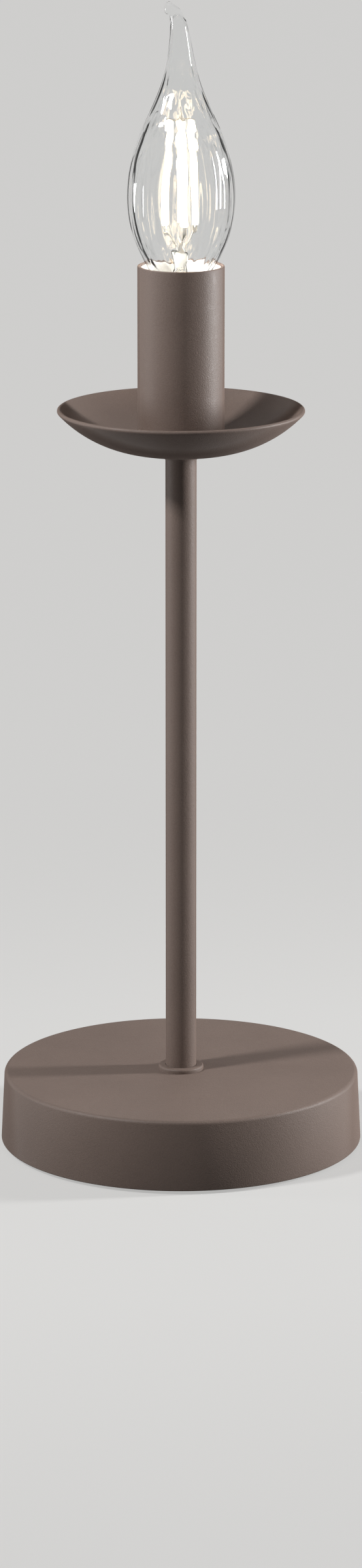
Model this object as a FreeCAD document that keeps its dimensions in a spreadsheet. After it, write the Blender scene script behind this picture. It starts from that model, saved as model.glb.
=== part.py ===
# Candle lamp: a round weighted base, a thin stem, a drip pan, a candle sleeve and a clear bent-tip bulb.
# Millimetres, +Z up. The origin is the centre of the underside, on the table. The bulb's tip bends towards
# -X and the cord goes in at the rear, +Y.
import FreeCAD, Part
import math
import os
import re

import Sketcher
from FreeCAD import Placement, Rotation, Vector

# Driving sizes, piece by piece from the table up
SIZES = {
    # Pad glued under the base
    "pad_setback": 4.3,
    "pad_ring_width": 16.0,
    "pad_thickness": 2.0,
    # Plate that closes the base
    "plate_thickness": 2.0,
    "plate_gap": 0.5,
    # Countersunk screws of the plate
    "plate_screw_circle_diameter": 68.0,
    "plate_screw_diameter": 3.0,
    "plate_screw_length": 9.5,
    "plate_screw_head_diameter": 5.6,
    "plate_screw_head_height": 1.5,
    "plate_screw_setback": 0.2,
    # Slot that all small screws share, and their gap all round in holes
    "slot_width": 0.8,
    "slot_depth": 0.6,
    "screw_gap": 0.05,
    # Base cover, a thin shell with a slight taper and a rounded top edge
    "base_diameter": 120.6,
    "base_draft": 1.2,
    "cover_height": 23.5,
    "cover_lift": 1.0,
    "cover_wall": 1.5,
    "cover_edge_radius": 1.2,
    "cover_inner_bevel": 0.5,
    # Cast weight under the cover's top
    "weight_thickness": 10.0,
    "weight_gap": 1.5,
    "weight_edge": 1.5,
    "weight_recess_gap": 4.5,
    "weight_recess_depth": 4.0,
    "boss_diameter": 10.0,
    # Cord inlet bush in the rear wall
    "inlet_level": 8.75,
    "inlet_bore": 6.0,
    "inlet_neck_diameter": 7.4,
    "inlet_flange_diameter": 8.8,
    "inlet_flange_thickness": 0.85,
    "inlet_gap": 0.02,
    # Stem tube, threaded at both ends
    "stem_diameter": 10.2,
    "stem_wall": 1.0,
    "thread_step": 0.15,
    "stem_reach": 210.2,
    "stem_end": 1.0,
    "thread_gap": 0.05,
    # Collar at the stem's foot
    "collar_ledge": 2.4,
    "collar_height": 1.5,
    "collar_edge_radius": 0.7,
    # Hexagon nuts and toothed washers on the stem
    "nut_wall": 2.05,
    "nut_height": 3.0,
    "nut_chamfer": 0.6,
    "washer_margin": 1.5,
    "washer_thickness": 0.8,
    "tooth_depth": 1.6,
    "tooth_gap_width": 1.2,
    # Flared cone under the pan
    "cone_height": 2.4,
    "cone_flare": 1.75,
    "cone_foot_step": 0.3,
    "cone_band": 0.5,
    "cone_flare_radius": 2.4,
    # Drip pan, a dish of even wall with a round lip
    "pan_diameter": 80.8,
    "pan_height": 14.2,
    "pan_wall": 1.4,
    "pan_floor_diameter": 20.0,
    # Candle sleeve and its white liner, which fit round the lampholder and stand above it
    "sleeve_overreach": 8.7,
    "sleeve_wall": 1.0,
    "sleeve_seat_gap": 0.03,
    "liner_wall": 0.8,
    "liner_gap": 0.1,
    "holder_gap": 0.15,
    "liner_setback": 0.5,
    # Strap that carries the lampholder
    "strap_foot_gap": 0.2,
    "strap_thickness": 1.2,
    "strap_lift": 0.3,
    "strap_width": 8.0,
    "strap_clearance": 0.8,
    "strap_setback": 1.6,
    "strap_gap": 0.1,
    "strap_end_gap": 0.6,
    "strap_screw_diameter": 2.5,
    "strap_screw_length": 5.0,
    "strap_screw_head_diameter": 4.5,
    "strap_screw_head_height": 1.2,
    # Lampholder body
    "holder_lift": 10.0,
    "holder_foot_inset": 1.7,
    "holder_waist_inset": 1.1,
    "holder_band_height": 4.0,
    "holder_band_bevel": 1.0,
    "chamber_diameter": 15.2,
    "chamber_height": 8.5,
    "partition_thickness": 4.5,
    "holder_rim_height": 0.3,
    "mouth_gap": 0.7,
    "mouth_floor_gap": 1.2,
    # Threaded shell and centre contact of the lampholder
    "shell_wall": 0.35,
    "shell_gap": 0.1,
    "shell_setback": 0.9,
    "shell_ridge_setback": 1.3,
    "tab_length": 4.2,
    "tab_width": 3.2,
    "contact_rise": 1.9,
    "contact_width": 4.0,
    "contact_thickness": 0.4,
    "contact_foot_length": 3.4,
    "contact_head_length": 3.0,
    # Terminals of the lampholder
    "terminal_offset": 4.2,
    "terminal_width": 4.2,
    "terminal_height": 5.6,
    "terminal_hole": 2.3,
    "terminal_stud_diameter": 1.6,
    "terminal_screw_diameter": 2.4,
    "terminal_screw_length": 4.4,
    "terminal_screw_access": 3.2,
    # Thread that the bulb's cap and the lampholder's shell share
    "thread_pitch": 2.822,
    "cap_ridge_diameter": 13.89,
    "cap_ridge_radius": 0.75,
    "cap_ridge_depth": 0.745,
    "ridge_gap": 0.055,
    "shell_ridge_radius": 0.7,
    "shell_ridge_inset": 0.07,
    # Bulb cap
    "cap_wall": 0.35,
    "cap_height": 21.6,
    "cap_skirt_step": 1.4,
    "cap_skirt_height": 5.0,
    "cap_flare": 1.0,
    "cap_ridge_setback": 1.7,
    "cap_ridge_level": 1.2,
    "tip_diameter": 5.0,
    "tip_height": 1.8,
    "tip_face_diameter": 3.0,
    "tip_edge_radius": 1.3,
    "insulator_cone_height": 2.4,
    "insulator_foot_diameter": 6.6,
    "insulator_height": 4.4,
    "cap_inner_gap": 0.05,
    "driver_gap": 0.55,
    "driver_height": 12.0,
    # Glass envelope with its bent tip
    "glass_diameter": 35.0,
    "glass_height": 98.4,
    "glass_wall": 0.8,
    "glass_seat": 4.0,
    "glass_neck_gap": 0.25,
    "glass_neck_height": 4.1,
    "glass_neck_flare": 0.09,
    "glass_mouth_gap": 0.95,
    "tip_ball_diameter": 4.5,
    # Glass mount inside the envelope
    "mount_flare_gap": 0.25,
    "mount_flare_height": 1.5,
    "mount_neck_diameter": 5.2,
    "mount_neck_level": 7.5,
    "mount_height": 18.0,
    "mount_top_diameter": 4.4,
    # Filaments, their leads and the hub that joins their tops
    "filament_diameter": 1.9,
    "filament_length": 34.0,
    "filament_level": 26.2,
    "filament_foot_circle_diameter": 10.2,
    "filament_head_circle_diameter": 6.8,
    "filament_turn": 10.0,
    "lead_diameter": 0.6,
    "lead_circle_diameter": 2.6,
    "lead_rise": 2.0,
    "lead_gap": 0.06,
    "hub_diameter": 9.0,
    "hub_thickness": 0.35,
    "hub_bar_width": 0.9,
    "hub_pin_length": 4.0,
    # Wiring in the base and the stem
    "wire_diameter": 1.9,
    "wire_offset": 1.4,
    "wire_bend": 3.6,
    "wire_grip": 4.0,
    "wire_setback": 1.0,
    "wire_spread": 1.0,
    # Terminal block on the plate
    "block_pole_pitch": 7.0,
    "block_width": 14.0,
    "block_height": 9.0,
    "block_place": 20.0,
    "block_bore_level": 4.0,
    "pole_diameter": 3.6,
    "pole_bore": 2.3,
    "pole_length": 12.0,
    "pole_screw_diameter": 2.0,
    "pole_screw_length": 3.0,
    "pole_screw_spacing": 7.2,
    "pole_screw_well": 3.0,
    "block_screw_diameter": 2.0,
    "block_screw_setback": 0.6,
    "block_screw_head_diameter": 3.6,
    "block_screw_head_height": 1.3,
    # Room cast in the weight for the terminal block
    "pocket_end_gap": 4.5,
    "pocket_side_gap": 4.0,
    "pocket_roof_gap": 2.7,
    # Earth tag and its screw on the weight
    "earth_across": 30.0,
    "earth_back": 4.0,
    "earth_ring_diameter": 8.6,
    "earth_tag_thickness": 0.8,
    "earth_tag_width": 4.0,
    "earth_tag_lap": 2.0,
    "earth_barrel_diameter": 3.2,
    "earth_barrel_length": 6.0,
    "earth_barrel_place": 9.0,
    "earth_barrel_drop": 1.4,
    "earth_screw_diameter": 4.0,
    "earth_screw_length": 7.0,
    "earth_screw_head_diameter": 7.0,
    "earth_screw_head_height": 2.4,
    # How far a cutting shape runs past what it cuts
    "overrun": 1.0,
}

# The glass's shoulder between its neck and the sleeve's mouth, as shares of the way from one to the other
SHOULDER_HEIGHT_SHARE = 0.48
SHOULDER_RADIUS_SHARE = 0.40

# Outline of the glass above the sleeve's mouth: height as a share of what stands above it, radius as a
# share of half of glass_diameter, lean towards -X as a share of glass_diameter, and the tilt in degrees
GLASS_SHARES = (
    (0.080, 0.834, 0.000, 0),
    (0.168, 0.957, 0.000, 0),
    (0.268, 1.000, 0.000, 0),
    (0.367, 0.957, 0.000, 0),
    (0.455, 0.848, 0.000, 0),
    (0.544, 0.671, 0.000, 0),
    (0.626, 0.474, 0.000, 0),
    (0.702, 0.334, 0.000, 0),
    (0.778, 0.249, 0.000, 0),
    (0.848, 0.194, 0.003, 3),
    (0.902, 0.163, 0.020, 18),
    (0.944, 0.137, 0.057, 34),
    (0.972, 0.123, 0.090, 45),
)

# Levels and radii that several pieces share, as sums of the driving sizes
PLATE_TOP = "(pad_thickness + plate_thickness)"
COVER_TOP = "(cover_lift + cover_height)"
COVER_TAPER = "(base_draft / cover_height)"
BASE_TOP_RADIUS = "(base_diameter / 2 - base_draft)"
PAD_RADIUS = "(base_diameter / 2 - pad_setback)"
WEIGHT_TOP = f"({COVER_TOP} - cover_wall)"
WEIGHT_FLOOR = f"({WEIGHT_TOP} - weight_thickness)"
RECESS_FLOOR = f"({WEIGHT_FLOOR} + weight_recess_depth)"
STEM_BORE_RADIUS = "(stem_diameter / 2 - stem_wall)"
THREAD_RADIUS = "(stem_diameter / 2 - thread_step)"
THREAD_HOLE = f"({THREAD_RADIUS} + thread_gap)"
NUT_HALF_WIDTH = f"({THREAD_RADIUS} + nut_wall)"
WASHER_RADIUS = f"({NUT_HALF_WIDTH} + washer_margin)"
STRAP_FACE = f"({WASHER_RADIUS} + strap_clearance)"
STRAP_BACK = f"({STRAP_FACE} + strap_thickness)"
HOLDER_RADIUS = f"({STRAP_BACK} + strap_setback)"
LINER_BORE_RADIUS = f"({HOLDER_RADIUS} + holder_gap)"
LINER_RADIUS = f"({LINER_BORE_RADIUS} + liner_wall)"
SLEEVE_BORE_RADIUS = f"({LINER_RADIUS} + liner_gap)"
SLEEVE_RADIUS = f"({SLEEVE_BORE_RADIUS} + sleeve_wall)"
CAP_RADIUS = "(cap_ridge_diameter / 2 - cap_ridge_depth)"
CAP_BORE_RADIUS = f"({CAP_RADIUS} - cap_wall)"
CAP_SKIRT_RADIUS = f"({CAP_RADIUS} + cap_skirt_step)"
SHELL_BORE_RADIUS = "(cap_ridge_diameter / 2 + ridge_gap)"
GLASS_NECK_RADIUS = f"({CAP_SKIRT_RADIUS} - cap_wall - glass_neck_gap)"
COLLAR_TOP = f"({COVER_TOP} + collar_height)"
PAN_UNDERSIDE = f"({COVER_TOP} + stem_reach)"
PAN_FLOOR = f"({PAN_UNDERSIDE} + pan_wall)"
CONE_FOOT = f"({PAN_UNDERSIDE} - cone_height)"
STRAP_FOOT_TOP = f"({PAN_FLOOR} + strap_thickness)"
STEM_TOP = f"({STRAP_FOOT_TOP} + washer_thickness + nut_height + stem_end)"
STEM_BOTTOM = f"({RECESS_FLOOR} - washer_thickness - nut_height - stem_end)"
HOLDER_FOOT = f"({PAN_FLOOR} + holder_lift)"
CHAMBER_TOP = f"({HOLDER_FOOT} + chamber_height)"
SOCKET_FLOOR = f"({CHAMBER_TOP} + partition_thickness)"
CONTACT_TOP = f"({SOCKET_FLOOR} + contact_rise)"
CAP_FOOT = f"({CONTACT_TOP} + tip_height + insulator_cone_height)"
CAP_TOP = f"({CAP_FOOT} + cap_height)"
SKIRT_FOOT = f"({CAP_TOP} - cap_skirt_height)"
HOLDER_TOP = f"({CAP_TOP} + holder_rim_height)"
MOUTH_FLOOR = f"({SKIRT_FOOT} - cap_flare - mouth_floor_gap)"
SHELL_TOP = f"({MOUTH_FLOOR} - shell_setback)"
SLEEVE_TOP = f"({HOLDER_TOP} + sleeve_overreach)"
GLASS_FOOT = f"({CAP_TOP} - glass_seat)"
CAP_RIDGE_START = f"({CAP_FOOT} + cap_ridge_level)"
CAP_RIDGE_HEIGHT = f"({SKIRT_FOOT} - cap_flare - cap_ridge_setback - {CAP_RIDGE_START})"
SHELL_RIDGE_START = f"({CAP_RIDGE_START} + thread_pitch / 2)"
SHELL_RIDGE_HEIGHT = f"({SHELL_TOP} - shell_ridge_setback - {SHELL_RIDGE_START})"

doc = FreeCAD.newDocument("candle_lamp")
sheet = doc.addObject("Spreadsheet::Sheet", "Sizes")
for row, (alias, number) in enumerate(SIZES.items(), start=1):
    sheet.set(f"A{row}", alias)
    sheet.set(f"B{row}", str(number))
    sheet.setAlias(f"B{row}", alias)
doc.recompute()

SUB_PARTS = []


def cells(expression):
    """The expression with each named size read from the sheet."""
    return re.sub(r"[a-z]\w+", lambda word: f"Sizes.{word[0]}" if word[0] in SIZES else word[0], expression)


def size(expression):
    """The expression's value."""
    return float(sheet.evalExpression(cells(expression)))


def point(across, back, up):
    """A point from three expressions."""
    return Vector(size(across), size(back), size(up))


def bind(piece, **sizes):
    """Bind properties of a piece to expressions."""
    for name, expression in sizes.items():
        piece.setExpression(name, cells(expression))


def place(piece, across="0", back="0", up="0", turn=None):
    """Put a piece at a bound place, turned first if a rotation is given."""
    piece.Placement = Placement(Vector(), turn or Rotation())
    for name, expression in (("x", across), ("y", back), ("z", up)):
        piece.setExpression(f"Placement.Base.{name}", cells(expression))
    return piece


def sub_part(label, piece):
    """Name a finished piece, which is then written to a file of that name."""
    piece.Label = label
    SUB_PARTS.append(piece)
    return piece


def arc_through(start, end, radius, side):
    """The short arc between two points that bulges to the left (1) or right (-1) of the way."""
    chord = end - start
    left = Vector(-chord.y, chord.x, 0).normalize()
    rise = radius - math.sqrt(max(radius**2 - (chord.Length / 2) ** 2, 0))
    return Part.Arc(start, start + chord / 2 + left * rise * side, end)


def outline(body, name, corners):
    """A closed sketch on the body's XZ plane. A corner is (radius, height), and a corner that an arc
    reaches is (radius, height, arc radius, side), with the side as arc_through takes it."""
    plane = [item for item in body.Origin.OriginFeatures if item.Role == "XZ_Plane"][0]
    sketch = body.newObject("Sketcher::SketchObject", name)
    sketch.AttachmentSupport = [(plane, "")]
    sketch.MapMode = "FlatFace"
    spots = [Vector(size(corner[0]), size(corner[1]), 0) for corner in corners]
    ends = []
    for number, corner in enumerate(corners):
        start, end = spots[number - 1], spots[number]
        if len(corner) == 2:
            edge = sketch.addGeometry(Part.LineSegment(start, end))
        else:
            edge = sketch.addGeometry(arc_through(start, end, size(corner[2]), corner[3]))
            arc = sketch.addConstraint(Sketcher.Constraint("Radius", edge, size(corner[2])))
            sketch.setExpression(f"Constraints[{arc}]", cells(corner[2]))
        first_is_start = (sketch.getPoint(edge, 1) - start).Length < (sketch.getPoint(edge, 1) - end).Length
        ends.append((1, 2) if first_is_start else (2, 1))
    for number, corner in enumerate(corners):
        following = (number + 1) % len(corners)
        vertex = (number, ends[number][1])
        sketch.addConstraint(Sketcher.Constraint("Coincident", *vertex, following, ends[following][0]))
        for kind, axis, expression in (("DistanceX", -2, corner[0]), ("DistanceY", -1, corner[1])):
            if expression == "0":
                sketch.addConstraint(Sketcher.Constraint("PointOnObject", *vertex, axis))
            else:
                at = sketch.addConstraint(Sketcher.Constraint(kind, -1, 1, *vertex, size(expression)))
                sketch.setExpression(f"Constraints[{at}]", cells(expression))
    return sketch


def turned(name, corners):
    """A body turned about its own Z axis from an outline."""
    body = doc.addObject("PartDesign::Body", name)
    sketch = outline(body, f"{name}_outline", corners)
    revolution = body.newObject("PartDesign::Revolution", f"{name}_turned")
    revolution.Profile = sketch
    revolution.ReferenceAxis = (sketch, ["V_Axis"])
    revolution.Angle = 360
    return body


def ring(name, inner, outer, bottom, top):
    """A plain ring from its radii and levels."""
    return turned(name, [(inner, bottom), (outer, bottom), (outer, top), (inner, top)])


def disc(name, outer, bottom, top):
    """A plain disc from its radius and levels."""
    return ring(name, "0", outer, bottom, top)


def helical_ridge(body, name, root, centre, radius, side, start, height):
    """A half-round ridge wound on a body as a right-hand thread. Side is 1 outside a wall, -1 inside one."""
    crest = f"({centre} + {side} * {radius})"
    corners = [
        (root, f"({start} - {radius})"),
        (centre, f"({start} - {radius})"),
        (crest, start, radius, -side),
        (centre, f"({start} + {radius})", radius, -side),
        (root, f"({start} + {radius})"),
    ]
    sketch = outline(body, f"{name}_section", corners)
    ridge = body.newObject("PartDesign::AdditiveHelix", name)
    ridge.Profile = sketch
    ridge.ReferenceAxis = (sketch, ["V_Axis"])
    ridge.Mode = "pitch-height-angle"
    bind(ridge, Pitch="thread_pitch", Height=height)


def block(name, length, width, height, across, back, up):
    """A box from its sizes and its left, front, lower corner."""
    box = doc.addObject("Part::Box", name)
    bind(box, Length=length, Width=width, Height=height)
    return place(box, across, back, up)


def rod(name, radius, length, across, back, up, turn=None):
    """A cylinder that starts at a place and runs up, or along another axis when turned."""
    cylinder = doc.addObject("Part::Cylinder", name)
    bind(cylinder, Radius=radius, Height=length)
    return place(cylinder, across, back, up, turn)


def together(name, pieces):
    """Separate solids as one compound."""
    compound = doc.addObject("Part::Compound", name)
    compound.Links = pieces
    return compound


def copies(name, piece, places):
    """One compound of a piece repeated at places (across, back, up, turn about Z in degrees)."""
    links = []
    for across, back, up, degrees in places:
        link = doc.addObject("App::Link", f"{name}_copy")
        link.LinkedObject = piece
        link.LinkTransform = True
        links.append(place(link, across, back, up, Rotation(Vector(0, 0, 1), degrees)))
    return together(name, links)


def joined(name, pieces):
    """Pieces fused to one solid."""
    fuse = doc.addObject("Part::MultiFuse", name)
    fuse.Shapes = pieces
    return fuse


def cut(name, base, tools):
    """A base with tools cut away."""
    result = doc.addObject("Part::Cut", name)
    result.Base = base
    result.Tool = tools[0] if len(tools) == 1 else joined(f"{name}_tools", tools)
    return result


def measured(name, shape):
    """A piece whose shape is worked out from the sheet's sizes."""
    feature = doc.addObject("Part::Feature", name)
    feature.Shape = shape
    feature.Placement = Placement()
    return feature


def wire_run(points, radius, bend):
    """A round wire along straight runs that tangent arcs of one bend radius join."""
    edges = []
    start = points[0]
    for before, corner, after in zip(points, points[1:], points[2:]):
        way_in = (corner - before).normalize()
        way_out = (after - corner).normalize()
        setback = bend * math.tan(way_in.getAngle(way_out) / 2)
        arc_start = corner - way_in * setback
        arc_end = corner + way_out * setback
        inward = (way_out - way_in * way_in.dot(way_out)).normalize()
        centre = arc_start + inward * bend
        middle = centre + (corner - centre).normalize() * bend
        edges.append(Part.LineSegment(start, arc_start).toShape())
        edges.append(Part.Arc(arc_start, middle, arc_end).toShape())
        start = arc_end
    edges.append(Part.LineSegment(start, points[-1]).toShape())
    path = Part.Wire(edges)
    section = Part.Wire([Part.Circle(points[0], points[1] - points[0], radius).toShape()])
    return path.makePipeShell([section], True, False)


def polar(circle, degrees, up="0"):
    """A place on a circle of a given diameter expression."""
    return (f"{circle} / 2 * cos({degrees})", f"{circle} / 2 * sin({degrees})", up, 0)


UPSIDE_DOWN = Rotation(Vector(1, 0, 0), 180)
ALONG_X = Rotation(Vector(0, 1, 0), 90)
ALONG_MINUS_X = Rotation(Vector(0, 1, 0), -90)
ALONG_Y = Rotation(Vector(1, 0, 0), -90)
BOSS_ANGLES = (30, 150, 270)
WASHER_TOOTH_COUNT = 12
FILAMENT_COUNT = 4


def slotted(name, shank_radius, shank_length, head_radius, head_height):
    """A cheese-head screw from zero, head up. The length of its shank is the level of its seat."""
    top = f"({shank_length} + {head_height})"
    blank = turned(
        f"{name}_blank",
        [
            ("0", "0"),
            (shank_radius, "0"),
            (shank_radius, shank_length),
            (head_radius, shank_length),
            (head_radius, top),
            ("0", top),
        ],
    )
    slot = block(
        f"{name}_slot",
        f"2 * ({head_radius}) + 2 * overrun",
        "slot_width",
        "slot_depth + overrun",
        f"-({head_radius}) - overrun",
        "-slot_width / 2",
        f"{top} - slot_depth",
    )
    return cut(name, blank, [slot])


# Foot pad: a foam ring glued under the plate, on which the lamp stands
sub_part(
    "foot_pad",
    ring("foot_pad", f"{PAD_RADIUS} - pad_ring_width", PAD_RADIUS, "0", "pad_thickness"),
)

# Screws of the plate: three, countersunk, up into the weight's bosses
plate_screw_blank = turned(
    "plate_screw_blank",
    [
        ("0", "0"),
        ("plate_screw_head_diameter / 2", "0"),
        ("plate_screw_diameter / 2", "plate_screw_head_height"),
        ("plate_screw_diameter / 2", "plate_screw_length"),
        ("0", "plate_screw_length"),
    ],
)
plate_screw_slot = block(
    "plate_screw_slot",
    "plate_screw_head_diameter + 2 * overrun",
    "slot_width",
    "slot_depth + overrun",
    "-plate_screw_head_diameter / 2 - overrun",
    "-slot_width / 2",
    "-overrun",
)
plate_screw = cut("plate_screw", plate_screw_blank, [plate_screw_slot])
plate_screw_level = "(pad_thickness + plate_screw_setback)"
boss_circle = "plate_screw_circle_diameter"
plate_screw_places = [polar(boss_circle, degrees, plate_screw_level) for degrees in BOSS_ANGLES]
sub_part("plate_screws", copies("plate_screws", plate_screw, plate_screw_places))
plate_screw_space = turned(
    "plate_screw_space",
    [
        ("0", "pad_thickness - overrun"),
        ("plate_screw_head_diameter / 2 + screw_gap", "pad_thickness - overrun"),
        ("plate_screw_head_diameter / 2 + screw_gap", plate_screw_level),
        ("plate_screw_diameter / 2 + screw_gap", f"{plate_screw_level} + plate_screw_head_height"),
        ("plate_screw_diameter / 2 + screw_gap", "pad_thickness + plate_screw_length + overrun"),
        ("0", "pad_thickness + plate_screw_length + overrun"),
    ],
)
boss_places = [polar(boss_circle, degrees) for degrees in BOSS_ANGLES]
plate_screw_spaces = copies("plate_screw_spaces", plate_screw_space, boss_places)

# Terminal block: three poles side by side on the plate, with a wire hole through each and two screw wells
block_length = "(3 * block_pole_pitch)"
block_bore = f"({PLATE_TOP} + block_bore_level)"
pole_spots = ("-block_pole_pitch", "0", "block_pole_pitch")
block_middle = "(block_place + block_width / 2)"
screw_rows = (f"{block_middle} - pole_screw_spacing / 2", f"{block_middle} + pole_screw_spacing / 2")
block_screw_spot = "block_pole_pitch / 2"
terminal_body = block(
    "terminal_body",
    block_length,
    "block_width",
    "block_height",
    f"-{block_length} / 2",
    "block_place",
    PLATE_TOP,
)
pole_holes = [
    rod(
        "pole_hole",
        "pole_diameter / 2 + screw_gap",
        "block_width + 2 * overrun",
        spot,
        "block_place - overrun",
        block_bore,
        ALONG_Y,
    )
    for spot in pole_spots
]
screw_wells = [
    rod("screw_well", "pole_screw_well / 2", "block_height", spot, row, block_bore)
    for spot in pole_spots
    for row in screw_rows
]
block_screw_hole = rod(
    "block_screw_hole",
    "block_screw_diameter / 2 + screw_gap",
    "plate_thickness + block_height + 2 * overrun",
    block_screw_spot,
    block_middle,
    "pad_thickness - overrun",
)
block_tools = pole_holes + screw_wells + [block_screw_hole]
sub_part("terminal_block", cut("terminal_block", terminal_body, block_tools))

# Terminal sleeves: a short brass tube in each pole, cross-drilled for its two screws
sleeves = []
for spot in pole_spots:
    start = f"{block_middle} - pole_length / 2"
    tube = rod("pole_tube", "pole_diameter / 2", "pole_length", spot, start, block_bore, ALONG_Y)
    bore = rod(
        "pole_bore",
        "pole_bore / 2",
        "pole_length + 2 * overrun",
        spot,
        f"{start} - overrun",
        block_bore,
        ALONG_Y,
    )
    drillings = [
        rod("pole_drilling", "pole_screw_diameter / 2 + screw_gap", "pole_diameter", spot, row, block_bore)
        for row in screw_rows
    ]
    sleeves.append(cut("terminal_sleeve", tube, [bore] + drillings))
sub_part("terminal_sleeves", together("terminal_sleeves", sleeves))

# Terminal screws: headless, two to a pole, their lower ends level with the top of the wire hole
pole_screw = cut(
    "pole_screw",
    disc("pole_screw_blank", "pole_screw_diameter / 2", "0", "pole_screw_length"),
    [
        block(
            "pole_screw_slot",
            "pole_screw_diameter + 2 * overrun",
            "slot_width / 2",
            "slot_depth + overrun",
            "-pole_screw_diameter / 2 - overrun",
            "-slot_width / 4",
            "pole_screw_length - slot_depth",
        )
    ],
)
pole_screw_level = f"{block_bore} + pole_bore / 2"
pole_screw_places = [(spot, row, pole_screw_level, 0) for spot in pole_spots for row in screw_rows]
sub_part("terminal_screws", copies("terminal_screws", pole_screw, pole_screw_places))

# Screw that fixes the block, down between two poles into the plate
block_screw_length = "(block_height + plate_thickness - block_screw_setback)"
block_screw = slotted(
    "block_screw",
    "block_screw_diameter / 2",
    block_screw_length,
    "block_screw_head_diameter / 2",
    "block_screw_head_height",
)
place(block_screw, block_screw_spot, block_middle, f"{PLATE_TOP} + block_height - {block_screw_length}")
sub_part("terminal_fixing_screw", block_screw)

# Bottom plate: a steel disc inside the cover, countersunk for its screws
plate_rim = f"{BASE_TOP_RADIUS} - cover_wall - plate_gap"
plate_blank = disc("plate_blank", plate_rim, "pad_thickness", PLATE_TOP)
sub_part("bottom_plate", cut("bottom_plate", plate_blank, [plate_screw_spaces, block_screw_hole]))

# Base cover: a spun shell, open below, with the stem's hole on top and the inlet's hole in the rear wall
cover_foot = "base_diameter / 2"
inner_rim = f"({BASE_TOP_RADIUS} - cover_wall)"
cover_shell = turned(
    "cover_shell",
    [
        (f"{cover_foot} - cover_wall", "cover_lift"),
        (cover_foot, "cover_lift"),
        (f"{BASE_TOP_RADIUS} + {COVER_TAPER} * cover_edge_radius", f"{COVER_TOP} - cover_edge_radius"),
        (f"{BASE_TOP_RADIUS} - cover_edge_radius", COVER_TOP, "cover_edge_radius", -1),
        (THREAD_HOLE, COVER_TOP),
        (THREAD_HOLE, WEIGHT_TOP),
        (f"{inner_rim} - cover_inner_bevel", WEIGHT_TOP),
        (inner_rim, f"{WEIGHT_TOP} - cover_inner_bevel"),
    ],
)
inlet_hole = rod(
    "inlet_hole",
    "inlet_neck_diameter / 2 + inlet_gap",
    "base_diameter / 2",
    "0",
    "base_diameter / 4",
    "inlet_level",
    ALONG_Y,
)
sub_part("base_cover", cut("base_cover", cover_shell, [inlet_hole]))

# Cord inlet bush: rubber, snapped into the rear wall, with a flange on each side
flange_crest = "(inlet_level + inlet_flange_diameter / 2 - cover_lift)"
flange_dip = "(inlet_level - inlet_flange_diameter / 2 - cover_lift)"
wall_high = f"({cover_foot} - cover_wall - {COVER_TAPER} * {flange_crest})"
wall_low = f"({cover_foot} - {COVER_TAPER} * {flange_dip})"
inner_face = f"(sqrt({wall_high} ^ 2 - (inlet_flange_diameter / 2) ^ 2) - inlet_gap)"
outer_face = f"({wall_low} + inlet_gap)"
bush_start = f"({inner_face} - inlet_flange_thickness)"
neck_end = f"({outer_face} - {bush_start})"
inlet_bush = turned(
    "inlet_bush",
    [
        ("inlet_bore / 2", "0"),
        ("inlet_flange_diameter / 2", "0"),
        ("inlet_flange_diameter / 2", "inlet_flange_thickness"),
        ("inlet_neck_diameter / 2", "inlet_flange_thickness"),
        ("inlet_neck_diameter / 2", neck_end),
        ("inlet_flange_diameter / 2", neck_end),
        ("inlet_flange_diameter / 2", f"{neck_end} + inlet_flange_thickness"),
        ("inlet_bore / 2", f"{neck_end} + inlet_flange_thickness"),
    ],
)
place(inlet_bush, "0", bush_start, "inlet_level", ALONG_Y)
sub_part("cord_inlet_bush", inlet_bush)

# Weight: cast iron, with a recess for the nut, three bosses for the plate's screws and room for the block
weight_rim = f"({BASE_TOP_RADIUS} - cover_wall - weight_gap)"
recess_radius = f"({WASHER_RADIUS} + weight_recess_gap)"
weight_disc = turned(
    "weight_disc",
    [
        (THREAD_HOLE, RECESS_FLOOR),
        (recess_radius, RECESS_FLOOR),
        (recess_radius, WEIGHT_FLOOR),
        (f"{weight_rim} - weight_edge", WEIGHT_FLOOR),
        (weight_rim, f"{WEIGHT_FLOOR} + weight_edge"),
        (weight_rim, f"{WEIGHT_TOP} - weight_edge"),
        (f"{weight_rim} - weight_edge", WEIGHT_TOP),
        (THREAD_HOLE, WEIGHT_TOP),
    ],
)
boss = disc("boss", "boss_diameter / 2", PLATE_TOP, f"{WEIGHT_FLOOR} + weight_edge")
bosses = copies("bosses", boss, boss_places)
pocket_roof = f"({PLATE_TOP} + block_height + block_screw_head_height + pocket_roof_gap)"
block_pocket = block(
    "block_pocket",
    f"{block_length} + 2 * pocket_end_gap",
    "block_width + 2 * pocket_side_gap",
    f"{pocket_roof} - {WEIGHT_FLOOR} + overrun",
    f"-{block_length} / 2 - pocket_end_gap",
    "block_place - pocket_side_gap",
    f"{WEIGHT_FLOOR} - overrun",
)
earth_thread = rod(
    "earth_thread",
    "earth_screw_diameter / 2 + screw_gap",
    "earth_screw_length + 2 * overrun",
    "earth_across",
    "earth_back",
    f"{WEIGHT_FLOOR} - overrun",
)
weight_casting = joined("weight_casting", [weight_disc, bosses])
weight_tools = [plate_screw_spaces, block_pocket, earth_thread]
sub_part("ballast_weight", cut("ballast_weight", weight_casting, weight_tools))

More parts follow.
